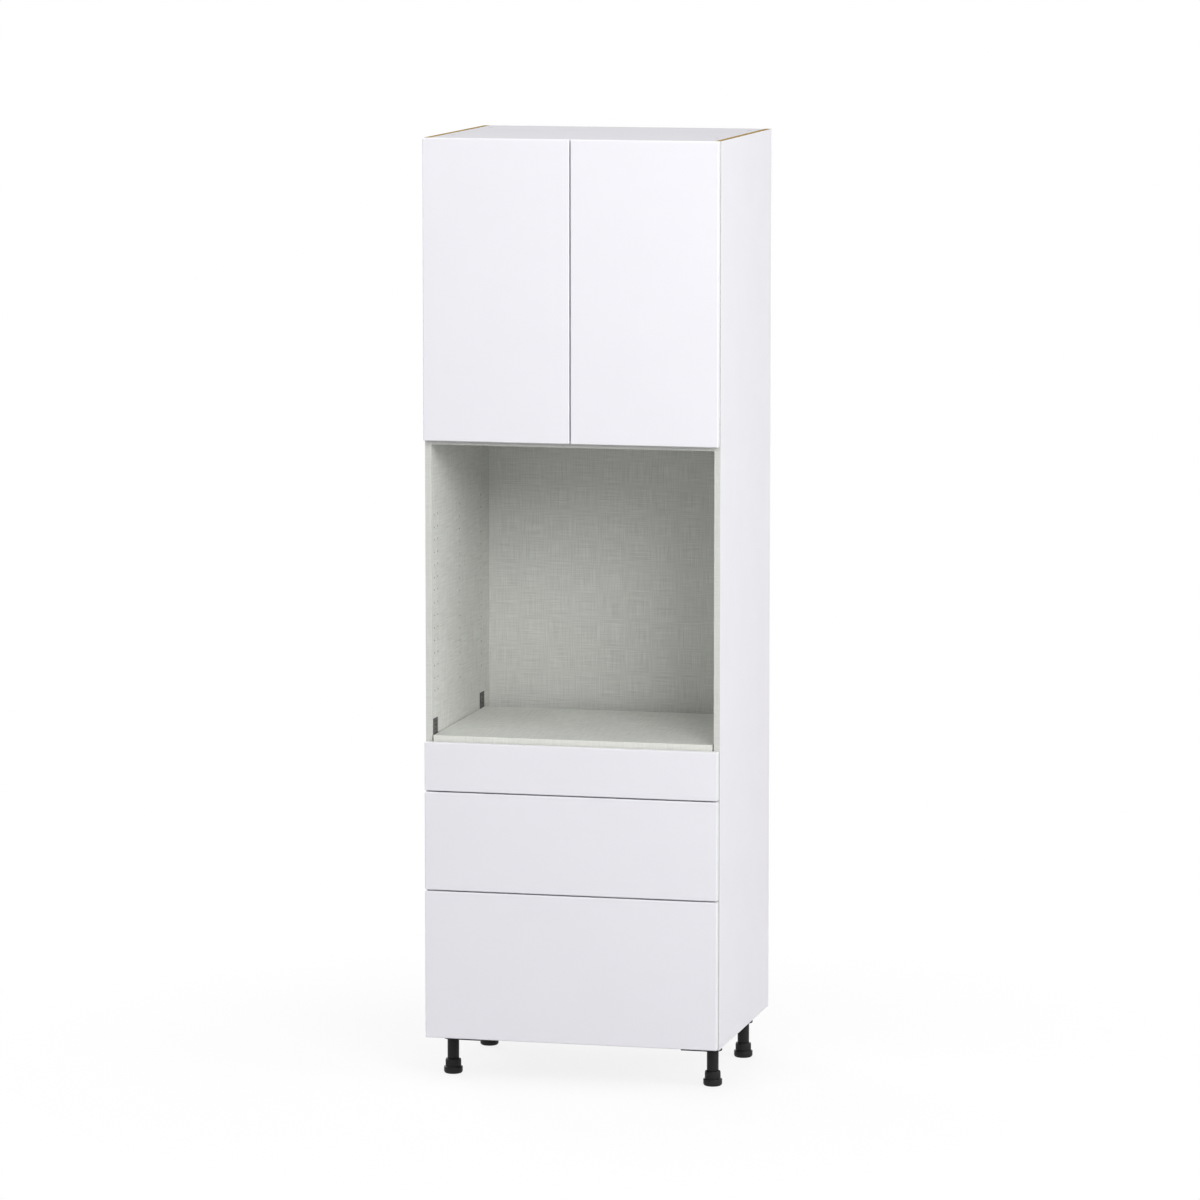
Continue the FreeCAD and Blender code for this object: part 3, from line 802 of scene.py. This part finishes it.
def lathe(name: str, outline: Outline, sides: int) -> Object:
    """Turns an outline about Z.

    Args:
        name: what the small piece is called.
        outline: radius and height in mm, from the lower pole to the upper pole.
        sides: facets round it.

    Returns:
        A closed piece at the origin, to be copied and then removed.
    """
    turned = bmesh.new()
    angles = [2 * math.pi * step / sides for step in range(sides)]
    rings = []
    for radius, height in outline:
        around = angles if radius else angles[:1]
        points = [Vector((radius * math.cos(angle), radius * math.sin(angle), height)) for angle in around]
        rings.append([turned.verts.new(point * MM) for point in points])
    for lower, upper in zip(rings, rings[1:]):
        for step in range(sides):
            after = (step + 1) % sides
            corners = [lower[step % len(lower)], lower[after % len(lower)],
                       upper[after % len(upper)], upper[step % len(upper)]]
            turned.faces.new(list(dict.fromkeys(corners)))
    bmesh.ops.recalc_face_normals(turned, faces=turned.faces[:])
    mesh = bpy.data.meshes.new(name)
    turned.to_mesh(mesh)
    turned.free()
    mesh.shade_smooth()
    mesh.set_sharp_from_angle(angle=CREASE)
    return new_object(name + "_pattern", mesh)


@dataclass(frozen=True)
class Spot:
    """A place for a small piece, and the way that it faces."""

    place: Vector
    facing: Vector


def set_pieces(name: str, spots: list[Spot], pattern: Object, finish: Finish, body: str, *nodes: str,
               slot: str = "", spin: float = 0.0) -> None:
    """Sets copies of a small piece on spots and enters them as one piece. The small piece itself goes.

    Args:
        name: the new piece's name.
        spots: where the copies go.
        pattern: the small piece, made at the origin and facing up.
        finish: its finish.
        body: the body that they move with.
        nodes: the solids that they replace.
        slot: the record's material slot, where it is not the usual one of the finish.
        spin: the most that a copy is turned about its own axis.
    """
    mesh = bpy.data.meshes.new(name)
    mesh.from_pydata([spot.place for spot in spots], [], [])
    facing = mesh.attributes.new("facing", "FLOAT_VECTOR", "POINT")
    for item, spot in zip(facing.data, spots):
        item.vector = spot.facing
    piece = new_object(name, mesh)
    run_tree(piece, SETTING, {"Piece": pattern, "Spin": spin, "Finish": finish.material()})
    settle(piece)
    bpy.data.objects.remove(pattern)
    enter(piece, body, slot or SLOTS[finish], *nodes)


@dataclass(frozen=True)
class Head:
    """A head with a cross recess."""

    name: str  # what it belongs to
    seat_mm: float  # radius at its foot
    top_mm: float  # radius at its top
    height_mm: float
    recess_mm: Triple  # length, width and depth of the recess
    flush: bool  # whether its top, and not its foot, lies in the surface
    finish: Finish
    sides: int = 20  # facets round it

    def pattern(self) -> Object:
        """Makes one head at the origin.

        Returns:
            The head, to be copied and then removed.
        """
        length, width, depth = (size * MM for size in self.recess_mm)
        head = new_object(self.name + "_pattern", bpy.data.meshes.new(self.name))
        run_tree(head, RECESS, {
            "Seat Radius": self.seat_mm * MM, "Top Radius": self.top_mm * MM, "Height": self.height_mm * MM,
            "Sink": -self.height_mm * MM if self.flush else 0.0, "Recess": (length, width, 2 * depth),
            "Second Recess": (width, length, 2 * depth), "Sides": self.sides,
            "Finish": self.finish.material()})
        return settle(head)

    def set(self, name: str, spots: list[Spot], body: str, *nodes: str) -> None:
        """Sets heads on spots, each turned by chance, and enters them as one piece on a body."""
        set_pieces(name, spots, self.pattern(), self.finish, body, *nodes, spin=math.pi / 2)


PAN_SCREW = Head("pan_screw", 3.6, 2.5, 1.7, (3.4, 0.9, 1.2), False, ZINC)
DARK_SCREW = Head("dark_screw", 3.6, 2.5, 1.7, (3.4, 0.9, 1.2), False, COATED)
NICKEL_SCREW = Head("nickel_screw", 3.4, 2.6, 1.3, (3.4, 0.9, 1.0), False, NICKEL)
CAM = Head("cam", 7.35, 7.35, 12.0, (8.6, 1.7, 2.6), True, DIE_CAST, 32)


@dataclass(frozen=True)
class HoleField:
    """System holes of one part of a side."""

    lowest_mm: float  # height of the lowest row over the lower hinges
    rows: int
    # First column behind the front edge and the step to the second, for each pair
    column_pairs_mm: tuple[tuple[float, float], ...] = ((20.0, 32.0), (276.0, 224.0))


@dataclass
class Carcass:
    """The standing box: boards, back, rails, shelves and their fittings."""

    pitch_mm: float = 32.0  # spacing of the system holes
    hole_mm: float = 2.5  # radius of a system hole
    hole_depth_mm: float = 12.0
    # The holes beside the drawers, in the oven bay and in the cupboard
    fields: tuple[HoleField, ...] = (
        HoleField(-1536.0, 20), HoleField(-747.8, 15, ((28.0, 32.0), (279.0, 218.0))), HoleField(-64.0, 21))
    cam_seat_mm: float = 12.5  # depth of a cam's seat
    wall_screw_mm: float = 2.75  # radius of the wall screw holes
    stud_mm: float = 406.4  # spacing of the wall screws
    back_drill_mm: float = 9.0  # how deep the back is drilled for them, which is through
    rail_drill_mm: float = 20.0  # the same for the rail
    groove_mm: float = 5.85  # how far the back lies in its grooves
    # Radius and height along a shelf pin, from its end in the side
    pin_mm: Outline = (
        (0, -10), (2.1, -10), (2.45, -9.4), (2.45, 0), (3.9, 0), (4.0, 0.3), (4.0, 1.0), (3.7, 1.3),
        (2.5, 1.3), (2.5, 9.5), (2.1, 10), (0, 10))

    def __post_init__(self) -> None:
        """Reads the planes that the boards share."""
        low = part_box("right_side_panel")[0]
        self.inner_x = low.x
        self.edge_y = low.y
        self.hinge_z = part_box("hinge_plates")[0].z + HINGE_HALF_HEIGHT_MM * MM
        cams_low, cams_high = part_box("cam_fittings")
        radius = CAM_RADIUS_MM * MM
        self.cam_places = [(x, y) for x in (cams_low.x + radius, cams_high.x - radius)
                           for y in (cams_low.y + radius, cams_high.y - radius)]

    def side(self, hand: Hand) -> None:
        """Builds a side with its columns of system holes.

        Args:
            hand: which side.
        """
        corner = Vector((hand.value * self.inner_x, self.edge_y, self.hinge_z))
        up = Vector((0, 0, self.pitch_mm * MM))
        bores = tuple(
            Bores(corner + Vector((0, first * MM, holes.lowest_mm * MM)), hand.outward, self.hole_mm,
                  self.hole_depth_mm, up, holes.rows, Vector((0, step * MM, 0)), 2)
            for holes in self.fields for first, step in holes.column_pairs_mm)
        Board(f"{hand.word}_side_panel", slot="white_faced_board", plain=CHIPBOARD, bores=bores,
              faces={hand.inward: LINEN, hand.outward: MELAMINE, Side.FRONT: LINEN_EDGE}).build()

    def cam_bores(self, z: float, drill: Side) -> tuple[Bores, ...]:
        """Gives the seats of four cams in one face.

        Args:
            z: the face's height.
            drill: the way the seats go in.

        Returns:
            One grid of four bores.
        """
        (left, front), (right, back) = self.cam_places[0], self.cam_places[-1]
        return (Bores(Vector((left, front, z)), drill, CAM_RADIUS_MM, self.cam_seat_mm,
                      Vector((right - left, 0, 0)), 2, Vector((0, back - front, 0)), 2, sides=CAM.sides),)

    def cams(self, name: str, z: float, facing: Side, *nodes: str) -> None:
        """Sets four cams in their seats in the face at height z."""
        CAM.set(name, [Spot(Vector((*place, z)), facing.way) for place in self.cam_places], "carcass", *nodes)

    def panels(self) -> None:
        """Builds the level panels with their cams, and the shelves."""
        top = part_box("top_panel")[1].z
        floor_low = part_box("cupboard_floor")[0].z
        bottom_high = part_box("bottom_panel")[1].z
        banded = {Side.FRONT: LINEN_EDGE, Side.BACK: CHIPBOARD}
        # The upper face of the top takes the white darkened as painted shade
        Board("top_panel", slot="white_faced_board", faces={**banded, Side.TOP: DULL_PAINTED_SHADE_TOP},
              bores=self.cam_bores(top, Side.BOTTOM)).build()
        Board("cupboard_floor", faces=banded, bores=self.cam_bores(floor_low, Side.TOP)).build()
        Board("bottom_panel", faces=banded, bores=self.cam_bores(bottom_high, Side.BOTTOM)).build()
        self.cams("top_cams", top, Side.TOP, "cam_fittings")
        self.cams("cupboard_floor_cams", floor_low, Side.BOTTOM)
        self.cams("bottom_cams", bottom_high, Side.TOP)
        # The shelves' edges get the paler band, as painted light
        painted_light_bands = dict.fromkeys((Side.FRONT, Side.LEFT, Side.RIGHT, Side.BACK), PAINTED_LIGHT_EDGE)
        for node in ("oven_shelf", "lower_cupboard_shelf", "upper_cupboard_shelf"):
            Board(node, faces=painted_light_bands, ease_mm=0.6).build()

    def rear(self) -> None:
        """Builds the back and the rails behind it, drilled for the wall screws."""
        rail_low, rail_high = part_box("upper_rear_rail")
        on_rail = Vector((-self.stud_mm / 2 * MM, rail_low.y, (rail_low.z + rail_high.z) / 2))
        on_back = Vector((on_rail.x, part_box("back_panel")[0].y, on_rail.z))
        apart = Vector((self.stud_mm * MM, 0, 0))
        through = (Bores(on_back, Side.BACK, self.wall_screw_mm, self.back_drill_mm, apart, 2),)
        Board("back_panel", faces={Side.BACK: PAPER}, ease_mm=0.2,
              hidden_mm=(self.groove_mm, 0, self.groove_mm), bores=through).build()
        raw = dict.fromkeys((Side.TOP, Side.BOTTOM, Side.LEFT, Side.RIGHT), CHIPBOARD)
        drilled = (Bores(on_rail, Side.BACK, self.wall_screw_mm, self.rail_drill_mm, apart, 2),)
        for level, bores in {"upper": drilled, "middle": (), "lower": ()}.items():
            Board(f"{level}_rear_rail", faces=raw, bores=bores).build()

    def shelf_pins(self) -> None:
        """Sets collared pins in the rows that carry the cupboard shelves."""
        low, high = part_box("shelf_pins")
        radius = self.hole_mm * MM
        spots = [Spot(Vector((hand.value * self.inner_x, y, z)), hand.inward.way) for hand in Hand
                 for y in (low.y + radius, high.y - radius) for z in (low.z + radius, high.z - radius)]
        set_pieces("shelf_pins_turned", spots, lathe("shelf_pin", self.pin_mm, 24), NICKEL, "carcass",
                   "shelf_pins", slot="zinc_die_cast")

    def build(self) -> None:
        """Builds the whole box."""
        for hand in Hand:
            self.side(hand)
        self.panels()
        self.rear()
        self.shelf_pins()
        Brackets(self.inner_x).build()


@dataclass
class Brackets:
    """Four steel angles that carry the oven shelf, perforated and screwed to the sides."""

    inner_x: float  # the plane of the right side's inner face
    half_mm: float = 20.0  # half the width of an angle
    leaf_mm: float = 2.0  # thickness of a leaf
    pitch_mm: float = 10.0  # spacing of the perforations, in rows up a leaf and columns across it
    rows: int = 4
    columns: int = 2
    top_mm: float = 7.5  # from the top of a leaf to its highest perforations
    hole_mm: float = 2.9  # radius of a perforation
    drill_mm: float = 4.0  # how deep it is drilled, which is through

    def build(self) -> None:
        """Builds the angles, and sets two screws across each from corner to corner."""
        low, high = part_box("oven_shelf_brackets")
        pitch = self.pitch_mm * MM
        highest = high.z - self.top_mm * MM
        lowest = highest - (self.rows - 1) * pitch
        holes: list[Bores] = []
        spots: list[Spot] = []
        for hand in Hand:
            for y in (low.y + self.half_mm * MM, high.y - self.half_mm * MM):
                first = Vector((hand.value * self.inner_x, y - pitch / 2, lowest))
                holes.append(Bores(first, hand.outward, self.hole_mm, self.drill_mm, Vector((0, 0, pitch)),
                                   self.rows, Vector((0, pitch, 0)), self.columns, COATED))
                for step_y, z in ((0, lowest), (pitch, highest)):
                    place = Vector((hand.value * (self.inner_x - self.leaf_mm * MM), first.y + step_y, z))
                    spots.append(Spot(place, hand.inward.way))
        Pressing("oven_shelf_brackets", "carcass", COATED, bores=tuple(holes)).build()
        DARK_SCREW.set("bracket_screws", spots, "carcass")


@dataclass
class Legs:
    """Four levelling legs: moulded bases, tubes and feet with ribbed collars."""

    foot_mm: float = 24.1  # radius of the foot
    disc_mm: float = 18.0  # height of its disc
    rim_mm: float = 6.5  # radius of the disc's lower rim
    shoulder_mm: float = 1.6  # radius of its upper rim
    collar_mm: float = 19.6  # radius of the collar
    top_mm: float = 38.0  # height of the collar's top
    lip_mm: float = 1.2  # radius of its upper rim
    bore_mm: float = 15.1  # radius of the collar's bore
    bore_floor_mm: float = 18.2  # height of the bore's floor
    ribs: int = 20  # ribs round a collar
    # Radius and height along the upper half of a rib, from its middle
    rib_mm: Outline = ((0.9, 6.9), (0.5, 7.5), (0, 7.5))
    rib_z_mm: float = 27.25  # height of a rib's middle
    rib_out_mm: float = 19.3  # from the foot's axis to a rib's

    def foot_outline(self) -> Outline:
        """Gives the turned outline of a foot.

        Returns:
            Radius and height in mm, from the floor round to the bottom of the bore.
        """
        rim = arc((self.foot_mm - self.rim_mm, self.rim_mm), self.rim_mm, -90, 6)
        shoulder, lip = (arc((out - radius, top - radius), radius, 0, 3) for out, top, radius in (
            (self.foot_mm, self.disc_mm, self.shoulder_mm), (self.collar_mm, self.top_mm, self.lip_mm)))
        bore = [(self.bore_mm, self.top_mm), (self.bore_mm, self.bore_floor_mm), (0, self.bore_floor_mm)]
        return [(0, 0), *rim, *shoulder, (self.collar_mm, self.disc_mm), *lip, *bore]

    def foot(self, name: str) -> None:
        """Builds a foot with its ribs.

        Args:
            name: the foot's solid and body.
        """
        low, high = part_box(name)
        centre = Vector(((low.x + high.x) / 2, (low.y + high.y) / 2, 0))
        up = Side.TOP.way
        foot = lathe(name, self.foot_outline(), 48)
        set_pieces(f"{name}_turned", [Spot(centre, up)], foot, PLASTIC, name, name)
        lower = [(radius, -height) for radius, height in reversed(self.rib_mm)]
        rib = lathe("rib", [*lower, *self.rib_mm], 8)
        middle = centre + up * self.rib_z_mm * MM
        turns = [2 * math.pi * step / self.ribs for step in range(self.ribs)]
        spokes = [Vector((math.cos(turn), math.sin(turn), 0)) * self.rib_out_mm * MM for turn in turns]
        set_pieces(f"{name}_ribs", [Spot(middle + spoke, up) for spoke in spokes], rib, PLASTIC, name)

    def build(self) -> None:
        """Builds bases and tubes, and then each foot."""
        Pressing("leg_bases", "carcass", PLASTIC, 0.8).build()
        Pressing("leg_tubes", "carcass", PLASTIC, 0.5).build()
        for row in ("front", "rear"):
            for hand in Hand:
                self.foot(f"{row}_{hand.word}_foot")


@dataclass
class Doors:
    """Two slab doors with their cup hinges."""

    cup_mm: float = 17.6  # radius of a cup's bore
    cup_depth_mm: float = 12.6
    cup_sides: int = 48  # facets round it
    cup_from_edge_mm: float = 21.5  # from the door's outer edge to the cup's middle
    # From the cup's middle inwards, out of the door and up or down to a screw of the cup
    ear_mm: Triple = (9.5, 1.2, 24.0)
    arm_face_mm: float = 12.3  # from the side to the face of a hinge arm
    # From the front of a hinge plate to the screws of the arm
    arm_screws_mm: tuple[float, float] = (10.0, 40.0)

    def build(self) -> None:
        """Builds the fixed hinge halves, then each door with what it carries."""
        Pressing("hinge_plates", "carcass", NICKEL).build()
        Pressing("hinge_arms", "carcass", NICKEL, 0.25).build()
        plates_low, plates_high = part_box("hinge_plates")
        half = HINGE_HALF_HEIGHT_MM * MM
        levels = (plates_low.z + half, plates_high.z - half)
        web = -plates_low.x - self.arm_face_mm * MM
        spots = [Spot(Vector((hand.value * web, plates_low.y + offset * MM, z)), hand.inward.way)
                 for hand in Hand for z in levels for offset in self.arm_screws_mm]
        NICKEL_SCREW.set("hinge_arm_screws", spots, "carcass")
        inwards, out, up = (size * MM for size in self.ear_mm)
        for hand in Hand:
            door = f"{hand.word}_door"
            low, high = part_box(door)
            edge = low.x if hand is Hand.LEFT else high.x
            cup_x = edge - hand.value * self.cup_from_edge_mm * MM
            bores = (Bores(Vector((cup_x, high.y, levels[0])), Side.FRONT, self.cup_mm, self.cup_depth_mm,
                           Vector((0, 0, levels[1] - levels[0])), 2, sides=self.cup_sides),)
            Front(door, door, bores=bores).build()
            Pressing(f"{hand.word}_hinge_cups", door, NICKEL, 0.25).build()
            Pressing(f"{hand.word}_hinge_pins", door, NICKEL, 0.15).build()
            ears = [Spot(Vector((cup_x - hand.value * inwards, high.y + out, z + turn * up)), Side.BACK.way)
                    for z in levels for turn in (-1, 1)]
            NICKEL_SCREW.set(f"{hand.word}_cup_screws", ears, door)


@dataclass
class Drawer:
    """A slab drawer: its front, its box and its pair of telescopic slides."""

    level: Level
    groove_mm: float = 5.9  # how far the bottom lies in the grooves of the box
    screw_across: float = 0.75  # place of the front's screws, as a part of half the box front's width
    screw_rise: float = 0.28  # the same up and down, as a part of its height
    first_mm: float = 50.0  # from the front of a slide to its first hole
    pitch_mm: float = 64.0
    holes: int = 7
    screwed: tuple[int, ...] = (0, 3, 6)  # the holes that have a screw
    hole_mm: float = 2.4  # radius of a hole
    drill_mm: float = 3.0  # how deep it is drilled, which is through
    sheet_mm: float = 1.2  # thickness of a slide's steel

    def box(self) -> None:
        """Builds the front and the five boards of the box, and the screws that join them."""
        body = f"{self.level.value}_drawer"
        Front(f"{body}_front", body).build()
        band = {Side.TOP: LINEN_EDGE, Side.BOTTOM: CHIPBOARD}
        banded = {**band, Side.BACK: LINEN_EDGE}
        boards = {"left_side": banded, "right_side": banded, "box_front": band, "box_back": band}
        for piece, faces in boards.items():
            Board(f"{body}_{piece}", body, "drawer_board", faces=faces).build()
        Board(f"{body}_box_bottom", body, "drawer_board", faces={Side.BOTTOM: PAPER}, ease_mm=0.2,
              hidden_mm=(self.groove_mm, self.groove_mm, 0)).build()
        low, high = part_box(f"{body}_box_front")
        middle = (low.z + high.z) / 2
        rise = (high.z - low.z) * self.screw_rise
        spots = [Spot(Vector((x * low.x, high.y, middle + turn * rise)), Side.BACK.way)
                 for x in (-self.screw_across, self.screw_across) for turn in (-1, 1)]
        PAN_SCREW.set(f"{body}_front_screws", spots, body)

    def slides(self) -> None:
        """Builds the three members of both slides, with their rows of holes and screws."""
        level = self.level.value
        bodies = {
            Member.CABINET: "carcass", Member.MIDDLE: f"{level}_slide", Member.DRAWER: f"{level}_drawer"}
        pitch = self.pitch_mm * MM
        for member, body in bodies.items():
            node = f"{level}_slide_{member.value}_members"
            low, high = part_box(node)
            first = low.y + self.first_mm * MM
            middle = (low.z + high.z) / 2
            on_box = member is Member.DRAWER
            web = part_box(f"{level}_drawer_right_side")[1].x if on_box else high.x
            holes = Bores(Vector((-web, first, middle)), Side.LEFT, self.hole_mm, self.drill_mm,
                          Vector((0, pitch, 0)), self.holes, Vector((2 * web, 0, 0)), 2, ZINC)
            Pressing(node, body, ZINC, bores=(holes,)).build()
            if member is Member.MIDDLE:
                continue
            face = web + (self.sheet_mm if on_box else -self.sheet_mm) * MM
            spots = [Spot(Vector((hand.value * face, first + pitch * hole, middle)),
                          (hand.outward if on_box else hand.inward).way)
                     for hand in Hand for hole in self.screwed]
            PAN_SCREW.set(f"{level}_slide_{member.value}_screws", spots, body)

    def build(self) -> None:
        """Builds the whole drawer."""
        self.box()
        self.slides()


@dataclass(frozen=True)
class Lamp:
    """A square soft lamp: where it hangs, the point that it faces, its width and its power in watts."""

    name: str
    place: Triple
    aim: Triple
    size: float
    power: float

    def hang(self) -> None:
        """Puts the lamp in its place."""
        data = bpy.data.lights.new(self.name, "AREA")
        data.size = self.size
        data.energy = self.power
        lamp = new_object(self.name, data)
        lamp.location = self.place
        lamp.rotation_euler = (Vector(self.aim) - Vector(self.place)).to_track_quat("-Z", "Y").to_euler()


@dataclass
class Studio:
    """White studio: floor, soft lamps and the camera at the photograph's viewing angle."""

    camera_place: Triple = (3.61189, -15.12934, 3.22246)
    camera_turn: Triple = (82.6238, 0.0, 13.4168)  # the camera's rotation in degrees
    lens_mm: float = 184.25
    ambient: float = 0.54  # how bright the room is for soft light from the sides
    zenith: float = 0.09  # the same for soft light from straight above
    reach: float = 60.0  # how far the floor reaches
    # From the middle of the floor to where its shadow starts to fade, and to where it ends
    shadow: tuple[float, float] = (0.5, 1.9)
    glow: float = 0.84  # how much of the floor near the legs is plain white
    dull: str = "C9C9CB"  # the floor's colour for the light that it throws back
    lamps: tuple[Lamp, ...] = (
        Lamp("key", (3.4, -5.2, 4.3), (0, 0, 1.4), 2.6, 202),
        Lamp("left_fill", (-3.5, -5.5, 4.8), (0, 0, 1.2), 2.6, 52),
        Lamp("right_fill", (6.0, -1.8, 3.0), (0, 0, 1.4), 2.6, 130),
        Lamp("overhead", (0.0, -2.6, 6.0), (0, 0, 1.4), 2.6, 46),
        Lamp("top", (0.0, 0.4, 5.2), (0, 0.4, 0), 2.0, 28),
        Lamp("rear_left", (-4.4, 4.8, 3.4), (0, 0, 1.2), 2.6, 150),
        Lamp("rear", (-1.2, 6.4, 1.4), (0, 0, 1.2), 1.8, 70))

    def camera(self) -> None:
        """Sets the camera."""
        data = bpy.data.cameras.new("camera")
        data.lens = self.lens_mm
        data.sensor_width = 36.0
        data.clip_end = 200.0
        camera = new_object("camera", data)
        camera.location = self.camera_place
        camera.rotation_euler = [math.radians(turn) for turn in self.camera_turn]
        bpy.context.scene.camera = camera

    def seen_rays(self, tree: NodeTree) -> Node:
        """Tells the rays that show the background from those that only light the object.

        Args:
            tree: the tree of the floor or the world.

        Returns:
            One for camera, glossy and transmission rays, and nought for the rest.
        """
        path = add_node(tree, "ShaderNodeLightPath").outputs
        shine = add_node(tree, "ShaderNodeMath", {0: path["Is Glossy Ray"], 1: path["Is Transmission Ray"]},
                         operation="MAXIMUM")
        return add_node(tree, "ShaderNodeMath", {0: path["Is Camera Ray"], 1: shine}, operation="MAXIMUM")

    def world(self) -> None:
        """Makes the room white to the eye and softly lit."""
        world = bpy.data.worlds.new("white studio")
        world.use_nodes = True
        tree = world.node_tree
        tree.nodes.clear()
        sky = add_node(tree, "ShaderNodeTexCoord")
        height = add_node(tree, "ShaderNodeSeparateXYZ", {0: sky.outputs["Generated"]})
        soft = add_node(tree, "ShaderNodeMapRange", {
            "Value": height.outputs["Z"], "To Min": self.ambient, "To Max": self.zenith})
        strength = add_node(tree, "ShaderNodeMapRange", {
            "Value": self.seen_rays(tree), "To Min": soft, "To Max": 1.0})
        light = add_node(tree, "ShaderNodeBackground", {"Color": WHITE, "Strength": strength})
        add_node(tree, "ShaderNodeOutputWorld", {"Surface": light})
        bpy.context.scene.world = world

    def floor(self) -> None:
        """Lays a white floor that keeps a soft shadow near the legs."""
        mesh = bpy.data.meshes.new("floor")
        corners = ((-1, -1), (1, -1), (1, 1), (-1, 1))
        mesh.from_pydata([(x * self.reach, y * self.reach, 0) for x, y in corners], [], [(0, 1, 2, 3)])
        material = bpy.data.materials.new("white studio floor")
        material.use_nodes = True
        tree = material.node_tree
        tree.nodes.clear()
        place = add_node(tree, "ShaderNodeTexCoord")
        far = add_node(tree, "ShaderNodeVectorMath", {0: place.outputs["Object"]}, operation="LENGTH")
        near, end = self.shadow
        clear = add_node(tree, "ShaderNodeMapRange", {
            "Value": far.outputs["Value"], "From Min": near, "From Max": end, "To Min": self.glow,
            "To Max": 1.0}, interpolation_type="SMOOTHSTEP")
        paint = add_node(tree, "ShaderNodeBsdfDiffuse", {"Color": WHITE})
        glow = add_node(tree, "ShaderNodeEmission", {"Color": WHITE, "Strength": 1.0})
        look = add_node(tree, "ShaderNodeMixShader", {0: clear, 1: paint, 2: glow})
        dull = add_node(tree, "ShaderNodeBsdfDiffuse", {"Color": hex_linear(self.dull)})
        both = add_node(tree, "ShaderNodeMixShader", {0: self.seen_rays(tree), 1: dull, 2: look})
        add_node(tree, "ShaderNodeOutputMaterial", {"Surface": both})
        mesh.materials.append(material)
        new_object("floor", mesh)

    def build(self) -> None:
        """Sets the camera, the room and the lamps."""
        self.camera()
        self.world()
        self.floor()
        for lamp in self.lamps:
            lamp.hang()
        bpy.context.scene.view_settings.view_transform = "Standard"


def main() -> None:
    """Builds the cabinet piece by piece, then the studio."""
    logging.basicConfig(level=logging.INFO, format="%(message)s")
    Carcass().build()
    Legs().build()
    Doors().build()
    for level in Level:
        Drawer(level).build()
    Studio().build()


if __name__ == "__main__":
    main()
